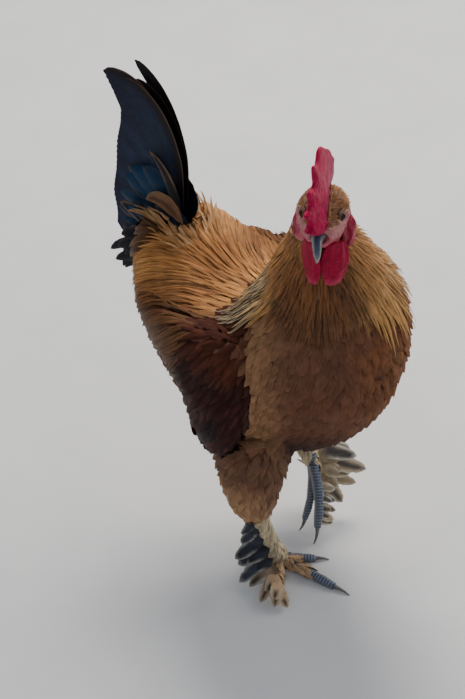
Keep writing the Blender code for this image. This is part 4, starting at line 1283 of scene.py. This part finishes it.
def comb_blade():
    """The comb, a blade fanned about a point in the skull, with more uneven points than the part's."""
    share = np.linspace(0, 1, 145)
    angle = math.radians(152) * share
    tooth = (0.5 - 0.5 * np.cos(14 * math.pi * share**0.9)) ** 1.4 * (1 - 0.75 * step(share, 0.52, 0.62))
    swell = np.sin(math.pi * (0.05 + 0.87 * share**1.15)) ** 0.8
    rim = 3.9 + 1.6 * swell + (0.4 + 0.6 * swell) * tooth + 1.0 * bell(share, 0.62, 0.12)
    lean = 1.25 * step(share, 0.54, 0.90) - 0.75 - 0.35 * bell(share, 0.23, 0.14) - 0.2 * tooth
    root = 2.4 - 0.5 * np.sin(math.pi * share)
    t = np.linspace(0, 1, 30)[:, None]
    r = root + (rim - root) * t
    grid = np.stack((lean * t, 0.3 - r * np.cos(angle), 0.2 + r * np.sin(angle)), -1)
    front = 1 + 0.5 * bell(share, 0, 0.1)
    return slab("blade", grid, (1.0 - 0.5 * t) * np.sqrt(1 - t**10) * (1.5 - 0.7 * share) * front)


def wattle_lobe(middle, across):
    """A wattle on the same lines as the part's, with two folds."""
    side = math.copysign(1, middle)
    t, u = np.linspace(0, 1, 50)[:, None], np.linspace(-1, 1, 25)
    half = 0.4 + 1.15 * np.sin(math.pi * (0.1 + 0.82 * t)) ** 0.8
    x = middle - side * 0.2 * t + side * half * across * u
    y = -2.6 + half * (1.2 - across) * u + 0.25 * u * u
    grid = np.stack((x, y, np.broadcast_to(-1.3 - 5.0 * t, x.shape)), -1)
    fold = 0.22 * bell(u, 0.5 * side, 0.14) + 0.16 * bell(u, -0.35 * side, 0.12)
    return slab("lobe", grid, 0.60 - 0.32 * np.abs(u) - 0.15 * t + fold * (1 - 0.6 * t))


def ear_lobe(side):
    """An earlobe, growing out of the cheek behind a fold of skin."""
    t, u = np.linspace(0, 1, 44)[:, None], np.linspace(-1, 1, 25)
    half = 0.35 + 0.6 * np.sin(math.pi * (0.08 + 0.84 * t))
    y = 0.25 + half * u
    reach = 1.72 if side < 0 else 2.0
    swell = reach + 0.72 * np.sin(math.pi * (0.12 + 0.62 * t))
    x = side * (swell - 0.16 * u * u + 0.10 * np.sin(9 * t + 2 * u))
    grid = np.stack((x, y, np.broadcast_to(-0.55 - 2.95 * t, y.shape)), -1)
    lobe = slab("lobe", grid, (1.25 - 0.65 * t) * (1 - 0.4 * np.abs(u)) * np.sqrt(1 - t**8))
    y = -0.75 + 0.45 * u + 0.3 * t
    x = side * (1.75 + 0.45 * np.sin(math.pi * (0.1 + 0.8 * t)) - 0.1 * u * u)
    grid = np.stack((x, y, np.broadcast_to(-0.9 - 2.0 * t, y.shape)), -1)
    return lobe, slab("fold", grid, (0.8 - 0.3 * t) * (1 - 0.5 * np.abs(u)) * np.sqrt(1 - t**8))


def fleshy(name, shapes, node, colour, lumps):
    """A bare fleshy part with lumps and folds; lumps(q) is in metres, from places in the head's frame."""
    mesh = fused(shapes, voxel=0.0006, rounds=8, grow=0.0003)
    points, normals = coordinates(mesh), normals_of(mesh)
    q = in_head(points)
    points += normals * lumps(q)[:, None]
    move(mesh, points)
    paint(mesh, colour(q))
    piece(name, mesh, FLESHY, "comb", node)


def comb_lumps(q):
    front = step(-q[:, 1], 1.2, 2.6)
    fine = ripple(q, 0.25, 2.0) * 0.00018
    return ripple(q, 0.9, 1.0) * 0.0006 + fine + ripple(q, 0.4, 3.0) * 0.0006 * front


def comb_colour(q):
    front = step(-q[:, 1], 1.4, 3.2)
    base = blend((0.43, 0.003, 0.054), (0.43, 0.002, 0.056), front)
    base = blend(base, (0.33, 0.020, 0.080), step(q[:, 0], -0.1, 0.6) * (1 - front * 0.8) * 0.7)
    base = blend(base, (0.20, 0.001, 0.022), 0.45 * step(ripple(q * (1.0, 1.6, 0.8), 0.6, 8.0), 0.0, 0.5))
    return blend(base, (0.48, 0.05, 0.12), 0.25 * step(ripple(q, 0.5, 5.0), 0.0, 0.6))


def lobe_lumps(q):
    return ripple(q * np.array((1.3, 1.3, 0.4)), 0.6, 4.0) * 0.0007 + ripple(q, 0.25, 2.0) * 0.0002


def wattle_colour(q):
    base = blend((0.27, 0.0, 0.024), (0.40, 0.001, 0.040), ripple(q, 0.9, 3.0) * 0.5 + 0.5)
    # The lower end is lighter pink, and the pale streaks that run up and down are painted highlights on the
    # folds.
    pale = step(ripple(q * (1.2, 1.2, 0.5), 0.7, 4.0), 0.1, 0.6)
    return blend(base, (0.50, 0.05, 0.11), np.maximum(0.55 * step(-q[:, 2], 5.2, 6.1), 0.3 * pale))


def lobe_colour(q):
    blotch = ripple(q * np.array((1, 1.8, 0.6)), 0.5, 6.0) * 0.5 + 0.5
    base = blend((0.26, 0.006, 0.030), (0.40, 0.050, 0.085), blotch)
    return blend(base, blend(PINK, ROSE, 0.6), 0.7 * (1 - step(np.abs(q[:, 0]), 1.9, 2.5)))


def beak(name, node, upper):
    """One half of the beak, slimmer than the part's, with a pale rim and, above, nostrils."""
    mesh = fused([node], voxel=0.0005, rounds=4, grow=0.0002)
    points, normals = coordinates(mesh), normals_of(mesh)
    q = in_head(points)
    out = np.clip((-q[:, 1] - 2.3) / 2.9, 0, 1)
    gape = -0.7 - 1.3 * out**1.5
    half = 0.94 * (1 - out**1.6) + 0.06
    slim = np.interp(out, (0, 0.15, 0.35, 0.6, 0.8, 1), (1, 0.72, 0.50, 0.42, 0.33, 0.10)) / half
    q[:, 0] *= np.minimum(slim, 1.0) if upper else np.minimum(slim, 1.0) ** 0.7
    half = half * slim
    points = out_of_head(q - (0.22, 0, 0) * (1 - step(out, 0.2, 1.0))[:, None])
    hole = np.linalg.norm((np.abs(q) - (0.55, 2.75, 0.15)) * (1, 0.6, 1.2), axis=1)
    slate = blend((0.032, 0.052, 0.10), (0.10, 0.125, 0.165), step(out, 0.5, 0.95))
    slate = blend((0.20, 0.15, 0.17), slate, step(out, 0.08, 0.25))
    if upper:
        points -= normals * (0.0011 * bell(hole, 0, 0.16))[:, None]
        pale = np.maximum(step(np.abs(q[:, 0]) / half, 0.45, 0.85), 1 - step(q[:, 2] - gape, 0.12, 0.35))
    else:
        pale = step(q[:, 2] - gape, -0.5, -0.15)
    move(mesh, points)
    colour = blend(slate, (0.36, 0.33, 0.29), np.clip(pale * 0.75 + 0.5 * step(out, 0.85, 1.0), 0, 1))
    # Painted shade: the nostrils are painted dark as well as dug in.
    if upper:
        colour = blend(colour, (0.02, 0.015, 0.015), bell(hole, 0, 0.13))
    paint(mesh, colour)
    piece(name, mesh, HORN, "beak", node)


def ring_tube(centre, axis, across, upward, radii, thick, high, seed):
    """A wrinkled ring of skin round the eye: half an ellipse's tube for each lid together."""
    turns, sides = 72, 10
    rows = []
    for i in range(turns):
        a = 2 * math.pi * i / turns
        r = np.array((math.cos(a) * radii[0], math.sin(a) * radii[1]))
        out = unit(across * math.cos(a) + upward * math.sin(a))
        middle = centre + across * r[0] + upward * r[1] + axis * (high + 0.02 * math.sin(a))
        upper = 1.25 if math.sin(a) > 0 else 1.0
        size = thick * (1 + 0.18 * math.sin(9 * a + seed) * math.sin(4 * a)) * upper
        for k in range(sides):
            b = 2 * math.pi * k / sides
            rows.append(middle + (out * math.cos(b) + axis * math.sin(b)) * size)
    index = np.arange(turns * sides).reshape(turns, sides)
    after, beside = np.roll(index, -1, 0), np.roll(index, -1, 1)
    faces = np.stack((index, after, np.roll(after, -1, 1), beside), -1).reshape(-1, 4)
    return np.array(rows), faces


def eyes(word, side):
    """An eyeball with dark pupil and red-brown iris, and three rings of skin round it."""
    centre = np.array((side * 1.75, -0.95, 0.6))
    axis = unit(np.array((side * 0.92, -0.40, 0.10)))
    across = unit(np.cross((0, 0, 1.0), axis))
    upward = np.cross(axis, across)
    bm = bmesh.new()
    bmesh.ops.create_uvsphere(bm, u_segments=48, v_segments=32, radius=0.46)
    mesh = bpy.data.meshes.new("ball")
    bm.to_mesh(mesh)
    bm.free()
    local = coordinates(mesh)
    rays = unit(local)
    turn = np.degrees(np.arccos(np.clip(rays @ axis, -1, 1)))
    move(mesh, out_of_head(local + centre))
    colour = blend((0.004, 0.003, 0.003), (0.09, 0.025, 0.008), step(turn, 28, 33))
    colour = blend(colour, (0.05, 0.014, 0.006), step(turn, 36, 44))
    colour = blend(colour, (0.02, 0.008, 0.006), step(turn, 46, 52))
    paint(mesh, colour)
    mesh.polygons.foreach_set("use_smooth", np.ones(len(mesh.polygons), bool))
    piece(f"eyeball_{word}", mesh, EYE, "eye", f"eye_{word}")
    parts, faces, start = [], [], 0
    # Radii, thickness and height over the eye's middle of each ring, in centimetres.
    rings = (((0.45, 0.37), 0.045, 0.19), ((0.54, 0.45), 0.050, 0.10), ((0.63, 0.53), 0.045, 0.0))
    for number, (radii, thick, high) in enumerate(rings):
        made, quads = ring_tube(centre, axis, across, upward, radii, thick, high, number)
        parts.append(made)
        faces.append(quads + start)
        start += len(made)
    q = np.concatenate(parts)
    lid = from_arrays("lids", out_of_head(q), np.concatenate(faces))
    lower = 1 - step((q - centre) @ upward, -0.1, 0.3)
    shade = blend((0.17, 0.085, 0.055), (0.30, 0.11, 0.10), lower)
    paint(lid, blend(shade, shade * 0.6, ripple(q, 0.2) * 0.5 + 0.5))
    bm = bmesh.new()
    bm.from_mesh(lid)
    bmesh.ops.recalc_face_normals(bm, faces=bm.faces)
    bm.to_mesh(lid)
    bm.free()
    piece(f"eyelids_{word}", lid, FACE, "face")


eye_shader = Shader("eye_wet", Roughness=0.08, Specular_IOR_Level=0.10, Coat_Weight=0.12, Coat_Roughness=0.02)
grain = eye_shader.scaled(eye_shader.noise(2600.0, 2.0), 0.7, 1.25)
EYE = eye_shader.finish(eye_shader.times(eye_shader.tint(), grain))
fleshy("comb_flesh", [comb_blade()], "comb", comb_colour, comb_lumps)
for side, word, middle, across in ((-1, "right", -0.85, 0.64), (1, "left", 1.55, 0.85)):
    fleshy(f"wattle_flesh_{word}", [wattle_lobe(middle, across)], f"wattle_{word}", wattle_colour, lobe_lumps)
    fleshy(f"earlobe_flesh_{word}", ear_lobe(side), f"earlobe_{word}", lobe_colour, lobe_lumps)
    eyes(word, side)
beak("beak_horn_upper", "beak_upper", True)
beak("beak_horn_lower", "beak_lower", False)


# ---------------------------------------------------------------- stage and camera


def stage():
    """Pale floor, bluish sky and three soft lamps."""
    floor_mesh = from_arrays("floor", np.array([(-4, -4, 0), (4, -4, 0), (4, 4, 0), (-4, 4, 0)], float),
                             np.array([[0, 1, 2, 3]]))
    floor = link("floor", floor_mesh)
    pale = Shader("floor_paint", Roughness=0.9, Specular_IOR_Level=0.2)
    grey = pale.node("ShaderNodeRGB")
    grey.outputs[0].default_value = (0.78, 0.77, 0.76, 1)
    mottled = pale.times(grey.outputs[0], pale.scaled(pale.noise(9.0, 3.0), 0.97, 1.03))
    floor_mesh.materials.append(pale.finish(mottled))
    world = bpy.data.worlds.new("studio")
    bpy.context.scene.world = world
    world.use_nodes = True
    world.node_tree.nodes["Background"].inputs["Color"].default_value = (0.80, 0.88, 1.0, 1)
    world.node_tree.nodes["Background"].inputs["Strength"].default_value = 0.42
    lamps = (("key", (0.9, 1.0, 2.4), 1.0, 62, (1.0, 0.96, 0.90)),
             ("fill", (-2.2, -1.6, 1.5), 2.0, 5, (0.90, 0.95, 1.0)),
             ("side", (2.2, -0.7, 1.3), 1.5, 28, (1.0, 0.96, 0.90)))
    for name, place, size, power, colour in lamps:
        light = bpy.data.lights.new(name, "AREA")
        light.size, light.energy, light.color = size, power, colour
        lamp = bpy.data.objects.new(name, light)
        lamp.location = place
        lamp.rotation_euler = (Vector((0, 0, 0.3)) - Vector(place)).to_track_quat("-Z", "Y").to_euler()
        bpy.context.scene.collection.objects.link(lamp)


def camera():
    """The view of the photograph."""
    azimuth, elevation, reach = math.radians(-46), math.radians(40), 1.97
    look = Vector((-0.0272, -0.0054, 0.27))
    back = Vector((math.sin(azimuth) * math.cos(elevation), -math.cos(azimuth) * math.cos(elevation),
                   math.sin(elevation)))
    data = bpy.data.cameras.new("view")
    data.lens, data.sensor_width = 95.3, 36.0
    eye = bpy.data.objects.new("view", data)
    eye.location = look + back * reach
    eye.rotation_euler = (-back).to_track_quat("-Z", "Y").to_euler()
    bpy.context.scene.collection.objects.link(eye)
    bpy.context.scene.camera = eye


stage()
camera()
